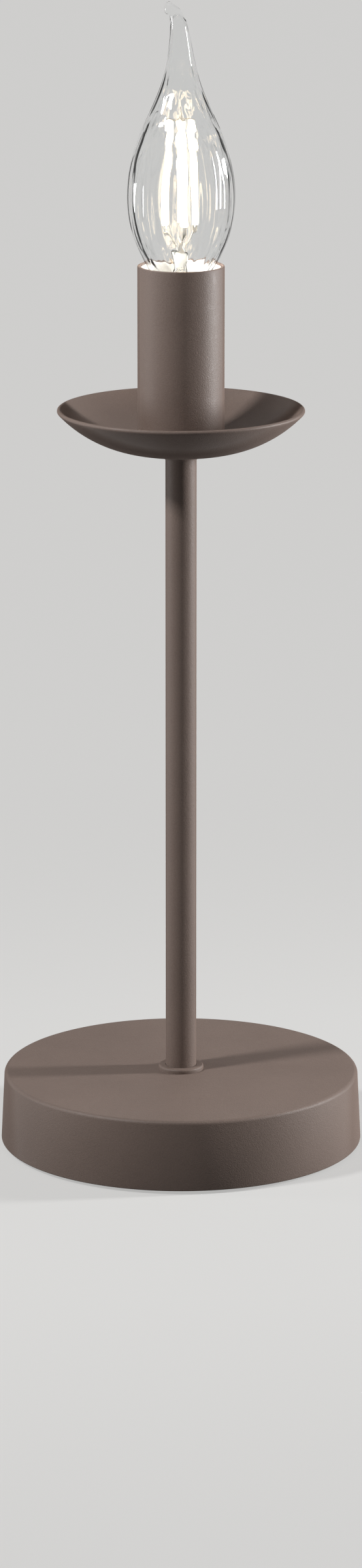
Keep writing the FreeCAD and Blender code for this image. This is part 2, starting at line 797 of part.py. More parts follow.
# Earth tag: a ring under the weight with a crimp barrel for the earth wire, held by a screw
tag_level = f"({WEIGHT_FLOOR} - earth_tag_thickness)"
barrel_start = "(earth_across - earth_barrel_place - earth_barrel_length)"
barrel_level = f"({WEIGHT_FLOOR} - earth_tag_thickness - earth_barrel_drop)"
tag_ring = rod(
    "tag_ring",
    "earth_ring_diameter / 2",
    "earth_tag_thickness",
    "earth_across",
    "earth_back",
    tag_level,
)
tag_tongue = block(
    "tag_tongue",
    "earth_barrel_place + earth_tag_lap",
    "earth_tag_width",
    "earth_tag_thickness",
    "earth_across - earth_barrel_place - earth_tag_lap",
    "earth_back - earth_tag_width / 2",
    tag_level,
)
tag_barrel = rod(
    "tag_barrel",
    "earth_barrel_diameter / 2",
    "earth_barrel_length",
    barrel_start,
    "earth_back",
    barrel_level,
    ALONG_X,
)
tag_bore = rod(
    "tag_bore",
    "wire_diameter / 2 + screw_gap",
    "wire_grip + overrun",
    f"{barrel_start} - overrun",
    "earth_back",
    barrel_level,
    ALONG_X,
)
tag_hole = rod(
    "tag_hole",
    "earth_screw_diameter / 2 + screw_gap",
    "earth_tag_thickness + 2 * overrun",
    "earth_across",
    "earth_back",
    f"{tag_level} - overrun",
)
earth_tag_blank = joined("earth_tag_blank", [tag_ring, tag_tongue, tag_barrel])
sub_part("earth_tag", cut("earth_tag", earth_tag_blank, [tag_bore, tag_hole]))
earth_screw = slotted(
    "earth_screw",
    "earth_screw_diameter / 2",
    "earth_screw_length",
    "earth_screw_head_diameter / 2",
    "earth_screw_head_height",
)
place(earth_screw, "earth_across", "earth_back", f"{tag_level} + earth_screw_length", UPSIDE_DOWN)
sub_part("earth_screw", earth_screw)


def toothed_washer(label, bottom):
    """A spring washer with inward teeth."""
    top = f"{bottom} + washer_thickness"
    blank = ring(f"{label}_blank", THREAD_HOLE, WASHER_RADIUS, bottom, top)
    notch = block(
        f"{label}_notch",
        f"{THREAD_HOLE} + tooth_depth",
        "tooth_gap_width",
        "washer_thickness + 2 * overrun",
        "0",
        "-tooth_gap_width / 2",
        f"{bottom} - overrun",
    )
    turns = [360 / WASHER_TOOTH_COUNT * number for number in range(WASHER_TOOTH_COUNT)]
    notches = copies(f"{label}_notches", notch, [("0", "0", "0", degrees) for degrees in turns])
    return sub_part(label, cut(label, blank, [notches]))


def hexagon_nut(label, bottom):
    """A thin hexagon nut with chamfered corners."""
    corner = f"({NUT_HALF_WIDTH} * 2 / sqrt(3))"
    top = f"{bottom} + nut_height"
    blank = turned(
        f"{label}_blank",
        [
            (THREAD_HOLE, bottom),
            (f"{corner} - nut_chamfer", bottom),
            (corner, f"{bottom} + nut_chamfer / 2"),
            (corner, f"{top} - nut_chamfer / 2"),
            (f"{corner} - nut_chamfer", top),
            (THREAD_HOLE, top),
        ],
    )
    prism = doc.addObject("Part::Prism", f"{label}_prism")
    prism.Polygon = 6
    bind(prism, Circumradius=corner, Height="nut_height")
    place(prism, "0", "0", bottom)
    common = doc.addObject("Part::Common", label)
    common.Base = blank
    common.Tool = prism
    return sub_part(label, common)


# Washer and nut that clamp collar, cover and weight on the stem's lower thread
toothed_washer("stem_washer", f"({RECESS_FLOOR} - washer_thickness)")
hexagon_nut("stem_nut", f"({RECESS_FLOOR} - washer_thickness - nut_height)")

# Foot collar: the thin ring on top of the base
collar_radius = "(stem_diameter / 2 + collar_ledge)"
sub_part(
    "foot_collar",
    turned(
        "foot_collar",
        [
            (THREAD_HOLE, COVER_TOP),
            (collar_radius, COVER_TOP),
            (collar_radius, f"{COLLAR_TOP} - collar_edge_radius"),
            (f"{collar_radius} - collar_edge_radius", COLLAR_TOP, "collar_edge_radius", -1),
            (THREAD_HOLE, COLLAR_TOP),
        ],
    ),
)

# Stem tube: full diameter between collar and cone, reduced and threaded at both ends
sub_part(
    "stem_tube",
    turned(
        "stem_tube",
        [
            (STEM_BORE_RADIUS, STEM_BOTTOM),
            (THREAD_RADIUS, STEM_BOTTOM),
            (THREAD_RADIUS, COLLAR_TOP),
            ("stem_diameter / 2", COLLAR_TOP),
            ("stem_diameter / 2", CONE_FOOT),
            (THREAD_RADIUS, CONE_FOOT),
            (THREAD_RADIUS, STEM_TOP),
            (STEM_BORE_RADIUS, STEM_TOP),
        ],
    ),
)

# Pan cone: the small flared ring that the pan sits on
cone_radius = "(stem_diameter / 2 + cone_flare)"
sub_part(
    "pan_cone",
    turned(
        "pan_cone",
        [
            (THREAD_HOLE, CONE_FOOT),
            ("stem_diameter / 2 + cone_foot_step", CONE_FOOT),
            (cone_radius, f"{PAN_UNDERSIDE} - cone_band", "cone_flare_radius", 1),
            (cone_radius, PAN_UNDERSIDE),
            (THREAD_HOLE, PAN_UNDERSIDE),
        ],
    ),
)

# Drip pan: a flat floor that runs into one even arc, with a round lip
lip_radius = "(pan_wall / 2)"
pan_run = f"(pan_diameter / 2 - {lip_radius} - pan_floor_diameter / 2)"
pan_rise = "(pan_height - pan_wall)"
dish_radius = f"(({pan_run} ^ 2 + {pan_rise} ^ 2) / (2 * {pan_rise}))"
dish_centre = f"({PAN_UNDERSIDE} + {lip_radius} + {dish_radius})"
lip_sine = f"({pan_run} / {dish_radius})"
lip_cosine = f"(1 - {pan_rise} / {dish_radius})"
lip_centre = f"(pan_diameter / 2 - {lip_radius})"
lip_level = f"({PAN_UNDERSIDE} + pan_height - {lip_radius})"
outer_lip = (f"{lip_centre} + {lip_radius} * {lip_sine}", f"{lip_level} - {lip_radius} * {lip_cosine}")
lip_crest = (f"{lip_centre} + {lip_radius} * {lip_cosine}", f"{lip_level} + {lip_radius} * {lip_sine}")
inner_lip = (f"{lip_centre} - {lip_radius} * {lip_sine}", f"{lip_level} + {lip_radius} * {lip_cosine}")
sub_part(
    "drip_pan",
    turned(
        "drip_pan",
        [
            (THREAD_HOLE, PAN_UNDERSIDE),
            ("pan_floor_diameter / 2", PAN_UNDERSIDE),
            (*outer_lip, f"{dish_radius} + {lip_radius}", -1),
            (*lip_crest, lip_radius, -1),
            (*inner_lip, lip_radius, -1),
            ("pan_floor_diameter / 2", PAN_FLOOR, f"{dish_radius} - {lip_radius}", 1),
            (THREAD_HOLE, PAN_FLOOR),
        ],
    ),
)

# Candle sleeve: stands in the pan, round the lampholder
sleeve_reach = f"({SLEEVE_RADIUS} - pan_floor_diameter / 2)"
seat_rise = f"({dish_centre} - sqrt(({dish_radius} - {lip_radius}) ^ 2 - {sleeve_reach} ^ 2) - {PAN_FLOOR})"
sleeve_foot = f"({PAN_FLOOR} + {seat_rise} + sleeve_seat_gap)"
sub_part(
    "candle_sleeve",
    ring("candle_sleeve", SLEEVE_BORE_RADIUS, SLEEVE_RADIUS, sleeve_foot, SLEEVE_TOP),
)

# Sleeve liner: a white insulating tube inside the sleeve
liner_top = f"{SLEEVE_TOP} - liner_setback"
sub_part(
    "sleeve_liner",
    ring("sleeve_liner", LINER_BORE_RADIUS, LINER_RADIUS, sleeve_foot, liner_top),
)

# Strap: its foot is clamped in the pan and its upright carries the lampholder body
strap_foot_radius = "pan_floor_diameter / 2 - strap_foot_gap"
strap_foot = ring("strap_foot", THREAD_HOLE, strap_foot_radius, PAN_FLOOR, STRAP_FOOT_TOP)
strap_top = f"({SOCKET_FLOOR} + strap_end_gap)"
strap_lug_level = f"({PAN_FLOOR} + strap_lift)"
strap_upright = block(
    "strap_upright",
    "strap_width",
    "strap_thickness",
    f"{strap_top} - {strap_lug_level}",
    "-strap_width / 2",
    STRAP_FACE,
    strap_lug_level,
)
strap_lug = block(
    "strap_lug",
    "strap_width",
    f"{STRAP_FACE} - stem_diameter / 2",
    f"{STRAP_FOOT_TOP} - {strap_lug_level}",
    "-strap_width / 2",
    "stem_diameter / 2",
    strap_lug_level,
)
strap_screw_level = f"({SOCKET_FLOOR} - partition_thickness / 2)"
strap_screw_hole = rod(
    "strap_screw_hole",
    "strap_screw_diameter / 2 + screw_gap",
    "strap_screw_length + 2 * overrun",
    "0",
    f"{STRAP_BACK} - strap_screw_length - overrun",
    strap_screw_level,
    ALONG_Y,
)
strap_blank = joined("strap_blank", [strap_foot, strap_lug, strap_upright])
sub_part("holder_strap", cut("holder_strap", strap_blank, [strap_screw_hole]))
strap_screw = slotted(
    "strap_screw",
    "strap_screw_diameter / 2",
    "strap_screw_length",
    "strap_screw_head_diameter / 2",
    "strap_screw_head_height",
)
place(strap_screw, "0", f"{STRAP_BACK} - strap_screw_length", strap_screw_level, ALONG_Y)
sub_part("holder_strap_screw", strap_screw)

# Washer and nut that clamp strap, pan and cone on the stem's upper thread
toothed_washer("pan_washer", STRAP_FOOT_TOP)
hexagon_nut("pan_nut", f"({STRAP_FOOT_TOP} + washer_thickness)")

# Lampholder body: moulded, with a terminal chamber below, a partition and the socket above
band_foot = f"({SOCKET_FLOOR} + holder_band_height)"
foot_radius = f"({HOLDER_RADIUS} - holder_foot_inset)"
waist_radius = f"({HOLDER_RADIUS} - holder_waist_inset)"
mouth_radius = f"({CAP_SKIRT_RADIUS} + mouth_gap)"
socket_radius = f"({SHELL_BORE_RADIUS} + shell_wall + shell_gap)"
holder_blank = turned(
    "holder_blank",
    [
        ("chamber_diameter / 2", HOLDER_FOOT),
        (foot_radius, HOLDER_FOOT),
        (foot_radius, f"{band_foot} - holder_band_bevel"),
        (HOLDER_RADIUS, band_foot),
        (HOLDER_RADIUS, f"{band_foot} + holder_band_height"),
        (waist_radius, f"{band_foot} + holder_band_height + holder_band_bevel"),
        (waist_radius, f"{HOLDER_TOP} - holder_band_height - holder_band_bevel"),
        (HOLDER_RADIUS, f"{HOLDER_TOP} - holder_band_height"),
        (HOLDER_RADIUS, HOLDER_TOP),
        (mouth_radius, HOLDER_TOP),
        (mouth_radius, MOUTH_FLOOR),
        (socket_radius, MOUTH_FLOOR),
        (socket_radius, SOCKET_FLOOR),
        ("0", SOCKET_FLOOR),
        ("0", CHAMBER_TOP),
        ("chamber_diameter / 2", CHAMBER_TOP),
    ],
)
strap_channel = block(
    "strap_channel",
    "strap_width + 2 * strap_gap",
    HOLDER_RADIUS,
    f"{strap_top} + strap_gap - {HOLDER_FOOT} + overrun",
    "-strap_width / 2 - strap_gap",
    STRAP_FACE,
    f"{HOLDER_FOOT} - overrun",
)
terminal_screw_level = f"({HOLDER_FOOT} + chamber_height / 2)"
terminal_sides = ((1, ALONG_X), (-1, ALONG_MINUS_X))
screw_accesses = [
    rod(
        "screw_access",
        "terminal_screw_access / 2",
        HOLDER_RADIUS,
        f"{side} * terminal_offset",
        "0",
        terminal_screw_level,
        turn,
    )
    for side, turn in terminal_sides
]
stud_holes = [
    rod(
        "stud_hole",
        "terminal_stud_diameter / 2 + screw_gap",
        "partition_thickness + 2 * overrun",
        spot,
        "0",
        f"{CHAMBER_TOP} - overrun",
    )
    for spot in ("terminal_offset", "-terminal_offset")
]
holder_tools = [strap_channel, strap_screw_hole] + screw_accesses + stud_holes
sub_part("holder_body", cut("holder_body", holder_blank, holder_tools))

# Lampholder terminals: two brass blocks under the partition, each with a stud up to its contact
terminals = []
for side, turn in terminal_sides:
    spot = f"{side} * terminal_offset"
    brass_block = block(
        "terminal_brass",
        "terminal_width",
        "terminal_width",
        "terminal_height",
        f"{spot} - terminal_width / 2",
        "-terminal_width / 2",
        f"{CHAMBER_TOP} - terminal_height",
    )
    stud = rod(
        "terminal_stud",
        "terminal_stud_diameter / 2",
        "partition_thickness + terminal_height / 2",
        spot,
        "0",
        f"{CHAMBER_TOP} - terminal_height / 2",
    )
    wire_hole = rod(
        "terminal_wire_hole",
        "terminal_hole / 2",
        "wire_grip + overrun",
        spot,
        "0",
        f"{CHAMBER_TOP} - terminal_height - overrun",
    )
    screw_hole = rod(
        "terminal_screw_hole",
        "terminal_screw_diameter / 2 + screw_gap",
        "terminal_width",
        spot,
        "0",
        terminal_screw_level,
        turn,
    )
    brass = joined("terminal_with_stud", [brass_block, stud])
    terminals.append(cut("holder_terminal", brass, [wire_hole, screw_hole]))
sub_part("holder_terminals", together("holder_terminals", terminals))

# Screws of the lampholder terminals: headless, reached through holes in the body's sides
holder_screws = []
for side, turn in terminal_sides:
    tip = f"({side} * (terminal_offset + terminal_hole / 2 - screw_gap))"
    slot_middle = f"({tip} + {side} * (terminal_screw_length + (overrun - slot_depth) / 2))"
    blank = rod(
        "holder_screw_blank",
        "terminal_screw_diameter / 2",
        "terminal_screw_length",
        tip,
        "0",
        terminal_screw_level,
        turn,
    )
    slot = block(
        "holder_screw_slot",
        "slot_depth + overrun",
        "terminal_screw_diameter + 2 * overrun",
        "slot_width / 2",
        f"{slot_middle} - (slot_depth + overrun) / 2",
        "-terminal_screw_diameter / 2 - overrun",
        f"{terminal_screw_level} - slot_width / 4",
    )
    holder_screws.append(cut("holder_terminal_screw", blank, [slot]))
sub_part("holder_terminal_screws", together("holder_terminal_screws", holder_screws))

# Threaded shell of the lampholder: its ridge winds half a pitch above the cap's, and its tab meets one stud
shell_tube = ring(
    "shell_tube",
    SHELL_BORE_RADIUS,
    f"{SHELL_BORE_RADIUS} + shell_wall",
    SOCKET_FLOOR,
    SHELL_TOP,
)
helical_ridge(
    shell_tube,
    "shell_ridge",
    f"({SHELL_BORE_RADIUS} + shell_wall / 2)",
    f"({SHELL_BORE_RADIUS} - shell_ridge_inset)",
    "shell_ridge_radius",
    -1,
    SHELL_RIDGE_START,
    SHELL_RIDGE_HEIGHT,
)
shell_tab = block(
    "shell_tab",
    "tab_length",
    "tab_width",
    "shell_wall",
    f"-{SHELL_BORE_RADIUS} - shell_wall / 2",
    "-tab_width / 2",
    SOCKET_FLOOR,
)
sub_part("holder_shell", joined("holder_shell", [shell_tube, shell_tab]))

# Centre contact: a bent bronze strip from the other stud up to the middle of the socket
foot_end = "(terminal_offset + contact_foot_length / 2)"
foot_start = f"({foot_end} - contact_foot_length)"
head_half = "(contact_head_length / 2)"


def contact_strip():
    """The strip's side view, extruded to its width."""
    upper = [
        point(foot_end, "0", f"{SOCKET_FLOOR} + contact_thickness"),
        point(foot_start, "0", f"{SOCKET_FLOOR} + contact_thickness"),
        point(head_half, "0", CONTACT_TOP),
        point(f"-{head_half}", "0", CONTACT_TOP),
        point(f"-{head_half} - contact_thickness", "0", f"{CONTACT_TOP} - contact_thickness"),
    ]
    lower = [
        point(f"-{head_half} + contact_thickness / 2", "0", f"{CONTACT_TOP} - contact_thickness"),
        point(f"{head_half} - contact_thickness / 2", "0", f"{CONTACT_TOP} - contact_thickness"),
        point(f"{foot_start} - contact_thickness", "0", SOCKET_FLOOR),
        point(foot_end, "0", SOCKET_FLOOR),
    ]
    corners = upper + lower
    side_view = Part.Face(Part.makePolygon(corners + corners[:1]))
    side_view.translate(point("0", "-contact_width / 2", "0"))
    return side_view.extrude(point("0", "contact_width", "0"))


sub_part("holder_centre_contact", measured("holder_centre_contact", contact_strip()))

# Wires: live and neutral up the stem to the lampholder, and earth across to its tag
wire_end = f"{CHAMBER_TOP} - terminal_height + wire_grip - wire_setback"
pole_entry = "block_place + wire_grip"
wire_level = f"({PLATE_TOP} + {STEM_BOTTOM}) / 2"


def stem_wire(pole, side):
    """A wire from a pole of the block up through the stem to a terminal of the lampholder."""
    rise = f"{side} * wire_offset"
    corners = [
        point(pole, pole_entry, block_bore),
        point(pole, "block_place - wire_bend", block_bore),
        point(rise, "2 * wire_bend", wire_level),
        point(rise, "0", wire_level),
        point(rise, "0", f"{STEM_TOP} - wire_spread"),
        point(f"{side} * terminal_offset", "0", f"{HOLDER_FOOT} + wire_spread"),
        point(f"{side} * terminal_offset", "0", wire_end),
    ]
    return wire_run(corners, size("wire_diameter / 2"), size("wire_bend"))


sub_part("neutral_wire", measured("neutral_wire", stem_wire("-block_pole_pitch", -1)))
sub_part("live_wire", measured("live_wire", stem_wire("0", 1)))
earth_route = [
    point("block_pole_pitch", pole_entry, block_bore),
    point("block_pole_pitch", "(block_place + earth_back) / 2", block_bore),
    point("block_pole_pitch + wire_bend", "earth_back", barrel_level),
    point(f"{barrel_start} + wire_grip", "earth_back", barrel_level),
]
earth_run = wire_run(earth_route, size("wire_diameter / 2"), size("wire_bend"))
sub_part("earth_wire", measured("earth_wire", earth_run))

# Tip of the bulb's cap: a soldered button that rests on the centre contact
tip_top = f"({CONTACT_TOP} + tip_height)"
sub_part(
    "cap_tip",
    turned(
        "cap_tip",
        [
            ("0", CONTACT_TOP),
            ("tip_face_diameter / 2", CONTACT_TOP),
            (
                "tip_diameter / 2",
                f"{CONTACT_TOP} + (tip_diameter - tip_face_diameter) / 2",
                "tip_edge_radius",
                -1,
            ),
            ("tip_diameter / 2", tip_top),
            ("0", tip_top),
        ],
    ),
)

# Insulator of the cap: dark glass between tip and shell
insulator_radius = f"({CAP_BORE_RADIUS} - cap_inner_gap)"
insulator_top = f"({tip_top} + insulator_height)"
sub_part(
    "cap_insulator",
    turned(
        "cap_insulator",
        [
            ("0", tip_top),
            ("insulator_foot_diameter / 2", tip_top),
            (insulator_radius, f"{tip_top} + insulator_cone_height"),
            (insulator_radius, insulator_top),
            ("0", insulator_top),
        ],
    ),
)

# Threaded cap of the bulb: thin metal that widens to a skirt round the glass's neck
cap_tube = turned(
    "cap_tube",
    [
        (CAP_BORE_RADIUS, CAP_FOOT),
        (CAP_RADIUS, CAP_FOOT),
        (CAP_RADIUS, f"{SKIRT_FOOT} - cap_flare"),
        (CAP_SKIRT_RADIUS, SKIRT_FOOT),
        (CAP_SKIRT_RADIUS, CAP_TOP),
        (f"{CAP_SKIRT_RADIUS} - cap_wall", CAP_TOP),
        (f"{CAP_SKIRT_RADIUS} - cap_wall", f"{SKIRT_FOOT} + cap_wall / 2"),
        (CAP_BORE_RADIUS, f"{SKIRT_FOOT} - cap_flare + cap_wall / 2"),
    ],
)
helical_ridge(
    cap_tube,
    "cap_ridge",
    f"({CAP_RADIUS} - cap_wall / 2)",
    "(cap_ridge_diameter / 2 - cap_ridge_radius)",
    "cap_ridge_radius",
    1,
    CAP_RIDGE_START,
    CAP_RIDGE_HEIGHT,
)
sub_part("cap_shell", cap_tube)

# Driver: the bulb's small electronics, potted inside the cap
driver_top = f"{insulator_top} + driver_height"
sub_part("bulb_driver", disc("bulb_driver", f"{CAP_BORE_RADIUS} - driver_gap", insulator_top, driver_top))


def glass_section(radius, lean, level, tilt, inset):
    """A circle of the glass's outline, bound to its sizes, and inset by the wall for the bore."""
    circle = doc.addObject("Part::Circle", "glass_section")
    bind(circle, Radius=f"{radius} - {inset}")
    return place(circle, lean, "0", level, Rotation(Vector(0, 1, 0), -tilt))


def glass_loft(name, sections):
    """A solid lofted through the sections."""
    loft = doc.addObject("Part::Loft", name)
    loft.Sections = sections
    loft.Solid = True
    loft.Ruled = False
    return loft


# Glass: blown envelope, open at its neck, with a bent tip that ends in a bead
neck_end = f"({GLASS_FOOT} + glass_neck_height)"
mouth_glass_radius = f"({LINER_BORE_RADIUS} - glass_mouth_gap)"
belly_height = f"(glass_height - {SLEEVE_TOP} + {GLASS_FOOT})"
neck_end_radius = f"({GLASS_NECK_RADIUS} + glass_neck_flare)"
widening = f"({mouth_glass_radius} - {GLASS_NECK_RADIUS})"
shoulder_radius = f"{GLASS_NECK_RADIUS} + {SHOULDER_RADIUS_SHARE} * {widening}"
shoulder_level = f"{neck_end} + {SHOULDER_HEIGHT_SHARE} * ({SLEEVE_TOP} - {neck_end})"
glass_rows = [
    (GLASS_NECK_RADIUS, "0", GLASS_FOOT, 0),
    (neck_end_radius, "0", neck_end, 0),
    (shoulder_radius, "0", shoulder_level, 0),
    (mouth_glass_radius, "0", SLEEVE_TOP, 0),
]
for height_share, radius_share, lean_share, tilt in GLASS_SHARES:
    belly_radius = f"glass_diameter / 2 * {radius_share}"
    belly_level = f"{SLEEVE_TOP} + {height_share} * {belly_height}"
    glass_rows.append((belly_radius, f"-glass_diameter * {lean_share}", belly_level, tilt))
glass_outside = glass_loft("glass_outside", [glass_section(*row, "0") for row in glass_rows])
glass_inside = glass_loft("glass_inside", [glass_section(*row, "glass_wall") for row in glass_rows[:-1]])
bead = doc.addObject("Part::Sphere", "glass_bead")
bind(bead, Radius="tip_ball_diameter / 2")
place(bead, *(glass_rows[-1][1], "0", glass_rows[-1][2]))
glass_blank = joined("glass_blank", [glass_outside, bead])
sub_part("bulb_glass", cut("bulb_glass", glass_blank, [glass_inside]))

# Glass mount: closes the neck and carries the filaments on its stalk
mount_flare = f"({GLASS_NECK_RADIUS} - glass_wall - mount_flare_gap)"
mount_top = f"({GLASS_FOOT} + mount_height)"
sub_part(
    "filament_mount",
    turned(
        "filament_mount",
        [
            ("0", GLASS_FOOT),
            (mount_flare, GLASS_FOOT),
            (mount_flare, f"{GLASS_FOOT} + mount_flare_height"),
            ("mount_neck_diameter / 2", f"{GLASS_FOOT} + mount_neck_level"),
            ("mount_top_diameter / 2", mount_top),
            ("0", mount_top),
        ],
    ),
)

# Filaments: four coated sticks that lean together towards their tops, with leads below and a hub above
filament_foot = f"({GLASS_FOOT} + filament_level)"
filament_head = f"({filament_foot} + filament_length)"
filament_angles = [f"(filament_turn + {360 / FILAMENT_COUNT * number})" for number in range(FILAMENT_COUNT)]


def on_circle(circle, angle, up):
    """A point on a circle round the bulb's axis."""
    return point(f"{circle} / 2 * cos({angle})", f"{circle} / 2 * sin({angle})", up)


def filament_stick(angle):
    """One stick with rounded ends."""
    foot = on_circle("filament_foot_circle_diameter", angle, filament_foot)
    head = on_circle("filament_head_circle_diameter", angle, filament_head)
    radius = size("filament_diameter / 2")
    stick = Part.makeCylinder(radius, (head - foot).Length, foot, head - foot)
    rims = [edge for edge in stick.Edges if isinstance(edge.Curve, Part.Circle)]
    return stick.makeFillet(size("filament_diameter / 2 - lead_diameter / 2"), rims)


def filament_lead(angle):
    """A bent wire from the mount's top to a stick's foot."""
    route = [
        on_circle("lead_circle_diameter", angle, mount_top),
        on_circle("lead_circle_diameter", angle, f"{mount_top} + lead_rise"),
        on_circle("filament_foot_circle_diameter", angle, f"{filament_foot} - lead_rise"),
        on_circle("filament_foot_circle_diameter", angle, f"{filament_foot} - lead_gap"),
    ]
    return wire_run(route, size("lead_diameter / 2"), size("lead_diameter * 2"))


sticks = Part.makeCompound([filament_stick(angle) for angle in filament_angles])
leads = Part.makeCompound([filament_lead(angle) for angle in filament_angles])
sub_part("led_filaments", measured("led_filaments", sticks))
sub_part("filament_leads", measured("filament_leads", leads))
hub_level = f"({filament_head} + lead_gap)"
hub_bars = [
    place(
        block("hub_bar", "hub_diameter", "hub_bar_width", "hub_thickness", "0", "0", "0"),
        f"-hub_diameter / 2 * cos({angle}) + hub_bar_width / 2 * sin({angle})",
        f"-hub_diameter / 2 * sin({angle}) - hub_bar_width / 2 * cos({angle})",
        hub_level,
        Rotation(Vector(0, 0, 1), size(angle)),
    )
    for angle in filament_angles[: FILAMENT_COUNT // 2]
]
hub_pin = rod("hub_pin", "lead_diameter / 2", "hub_pin_length", "0", "0", hub_level)
sub_part("filament_hub", joined("filament_hub", hub_bars + [hub_pin]))

doc.recompute()
for item in doc.Objects:
    if {"Invalid", "Error"} & set(item.State):
        raise RuntimeError(f"{item.Name} failed: {item.State}")
for piece in SUB_PARTS:
    if piece.Shape.isNull() or not piece.Shape.isValid() or not piece.Shape.Solids:
        raise RuntimeError(f"{piece.Label} has no valid solid")

os.makedirs("parts", exist_ok=True)
for piece in SUB_PARTS:
    piece.Shape.exportStep(f"parts/{piece.Label}.step")
    box = piece.Shape.BoundBox
    print(
        f"{piece.Label:24s} solids {len(piece.Shape.Solids)}  volume {piece.Shape.Volume:10.1f}"
        f"  z {box.ZMin:7.2f} to {box.ZMax:7.2f}  across {box.XLength:6.2f}"
    )
print(f"{len(SUB_PARTS)} sub-parts")
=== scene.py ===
import math

import bpy
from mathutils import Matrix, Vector


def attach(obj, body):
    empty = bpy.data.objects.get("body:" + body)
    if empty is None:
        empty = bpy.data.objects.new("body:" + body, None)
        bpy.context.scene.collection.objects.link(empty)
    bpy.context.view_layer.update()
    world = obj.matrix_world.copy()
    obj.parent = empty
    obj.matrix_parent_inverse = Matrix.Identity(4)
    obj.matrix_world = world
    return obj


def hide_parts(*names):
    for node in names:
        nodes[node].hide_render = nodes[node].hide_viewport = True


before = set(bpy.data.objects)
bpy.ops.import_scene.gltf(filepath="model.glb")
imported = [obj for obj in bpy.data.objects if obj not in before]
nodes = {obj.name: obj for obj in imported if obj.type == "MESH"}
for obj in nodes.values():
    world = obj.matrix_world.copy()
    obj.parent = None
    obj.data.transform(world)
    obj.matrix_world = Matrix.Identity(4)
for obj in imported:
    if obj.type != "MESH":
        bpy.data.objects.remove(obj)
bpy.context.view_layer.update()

# Camera: it stands 1.8 m in front of the lamp and 0.58 m up and looks down by 14.3 degrees, as the rims of
# the base, the pan and the sleeve show. Its turn counts up from looking straight down. Its long lens and
# its sensor are in millimetres.
CAMERA_DISTANCE = 1.8009
CAMERA_HEIGHT = 0.5818
CAMERA_TURN_UP = 75.70
LENS_LENGTH = 128.9
SENSOR_WIDTH = 36.0
camera_data = bpy.data.cameras.new("camera")
camera_data.lens = LENS_LENGTH
camera_data.sensor_width = SENSOR_WIDTH
camera = bpy.data.objects.new("camera", camera_data)
camera.location = (0.0, -CAMERA_DISTANCE, CAMERA_HEIGHT)
camera.rotation_euler = (math.radians(CAMERA_TURN_UP), 0.0, 0.0)
bpy.context.scene.collection.objects.link(camera)
bpy.context.scene.camera = camera
bpy.context.scene.view_settings.view_transform = "Standard"

# Foot pad: a ring of black EVA foam, die cut from a sheet and glued under the bottom plate. It stands
# back from the base's edge, so that the lamp seems to float a little. Its cut edges are soft.
PAD_OUTER_RADIUS = 0.0560
PAD_INNER_RADIUS = 0.0400
PAD_THICKNESS = 0.0020
PAD_EDGE_ROUND = 0.0006
PAD_SIDES = 120
FOAM_DARK = (0.010, 0.010, 0.011)
FOAM_LIGHT = (0.030, 0.030, 0.032)
MERGE_DISTANCE = 0.000001
SAME_PLACE = 0.00002


def turned(name, profile, sides):
    """A piece of revolution: a circle is extruded round the profile's corners, (radius, height) each."""
    radius, height = profile[0]
    bpy.ops.object.select_all(action="DESELECT")
    bpy.ops.mesh.primitive_circle_add(vertices=sides, radius=radius, location=(0, 0, height))
    piece = bpy.context.object
    piece.name = name
    piece.data.name = name
    bpy.ops.object.mode_set(mode="EDIT")
    for next_radius, next_height in profile[1:] + profile[:1]:
        rise = (0, 0, next_height - height)
        growth = next_radius / radius
        bpy.ops.mesh.extrude_region_move(TRANSFORM_OT_translate={"value": rise})
        bpy.ops.transform.resize(value=(growth, growth, 1), center_override=(0, 0, next_height))
        radius = next_radius
        height = next_height
    bpy.ops.mesh.select_all(action="SELECT")
    bpy.ops.mesh.remove_doubles(threshold=MERGE_DISTANCE)
    bpy.ops.mesh.normals_make_consistent(inside=False)
    bpy.ops.object.mode_set(mode="OBJECT")
    bpy.ops.object.transform_apply(location=True, rotation=True, scale=True)
    return piece


def select_only(piece):
    """Selects one piece and nothing else, and makes it the active one."""
    bpy.ops.object.select_all(action="DESELECT")
    bpy.context.view_layer.objects.active = piece
    piece.select_set(True)


def round_rings(piece, corners, width, steps):
    """Bevels the rings of edges that lie at the given corners of a turned piece."""
    select_only(piece)
    bpy.ops.object.mode_set(mode="EDIT")
    bpy.ops.mesh.select_mode(type="EDGE")
    bpy.ops.mesh.select_all(action="DESELECT")
    bpy.ops.object.mode_set(mode="OBJECT")
    points = piece.data.vertices
    for edge in piece.data.edges:
        ends = [points[i].co for i in edge.vertices]
        for radius, height in corners:
            near = [abs(p.xy.length - radius) + abs(p.z - height) < SAME_PLACE for p in ends]
            if all(near):
                edge.select = True
    bpy.ops.object.mode_set(mode="EDIT")
    bpy.ops.mesh.bevel(offset=width, segments=steps, affect="EDGES")
    bpy.ops.object.mode_set(mode="OBJECT")


def smooth(piece, degrees=35):
    """Smooth shading, with an edge kept sharp where its faces meet at more than the angle."""
    select_only(piece)
    bpy.ops.object.shade_smooth_by_angle(angle=math.radians(degrees))


def feed(tree, value, socket):
    """Gives an input a plain value or the output of another node."""
    if isinstance(value, bpy.types.NodeSocket):
        tree.links.new(value, socket)
    else:
        socket.default_value = value


def feed_all(tree, node, **values):
    """Feeds several inputs of a node by name; an underscore stands for a space."""
    for label, value in values.items():
        feed(tree, value, node.inputs[label.replace("_", " ")])


def add_node(tree, kind, **values):
    """A new shader node with its inputs fed."""
    node = tree.nodes.new(kind)
    feed_all(tree, node, **values)
    return node


def object_place(tree):
    """The place on the piece, in its object coordinates."""
    return tree.nodes.new("ShaderNodeTexCoord").outputs["Object"]


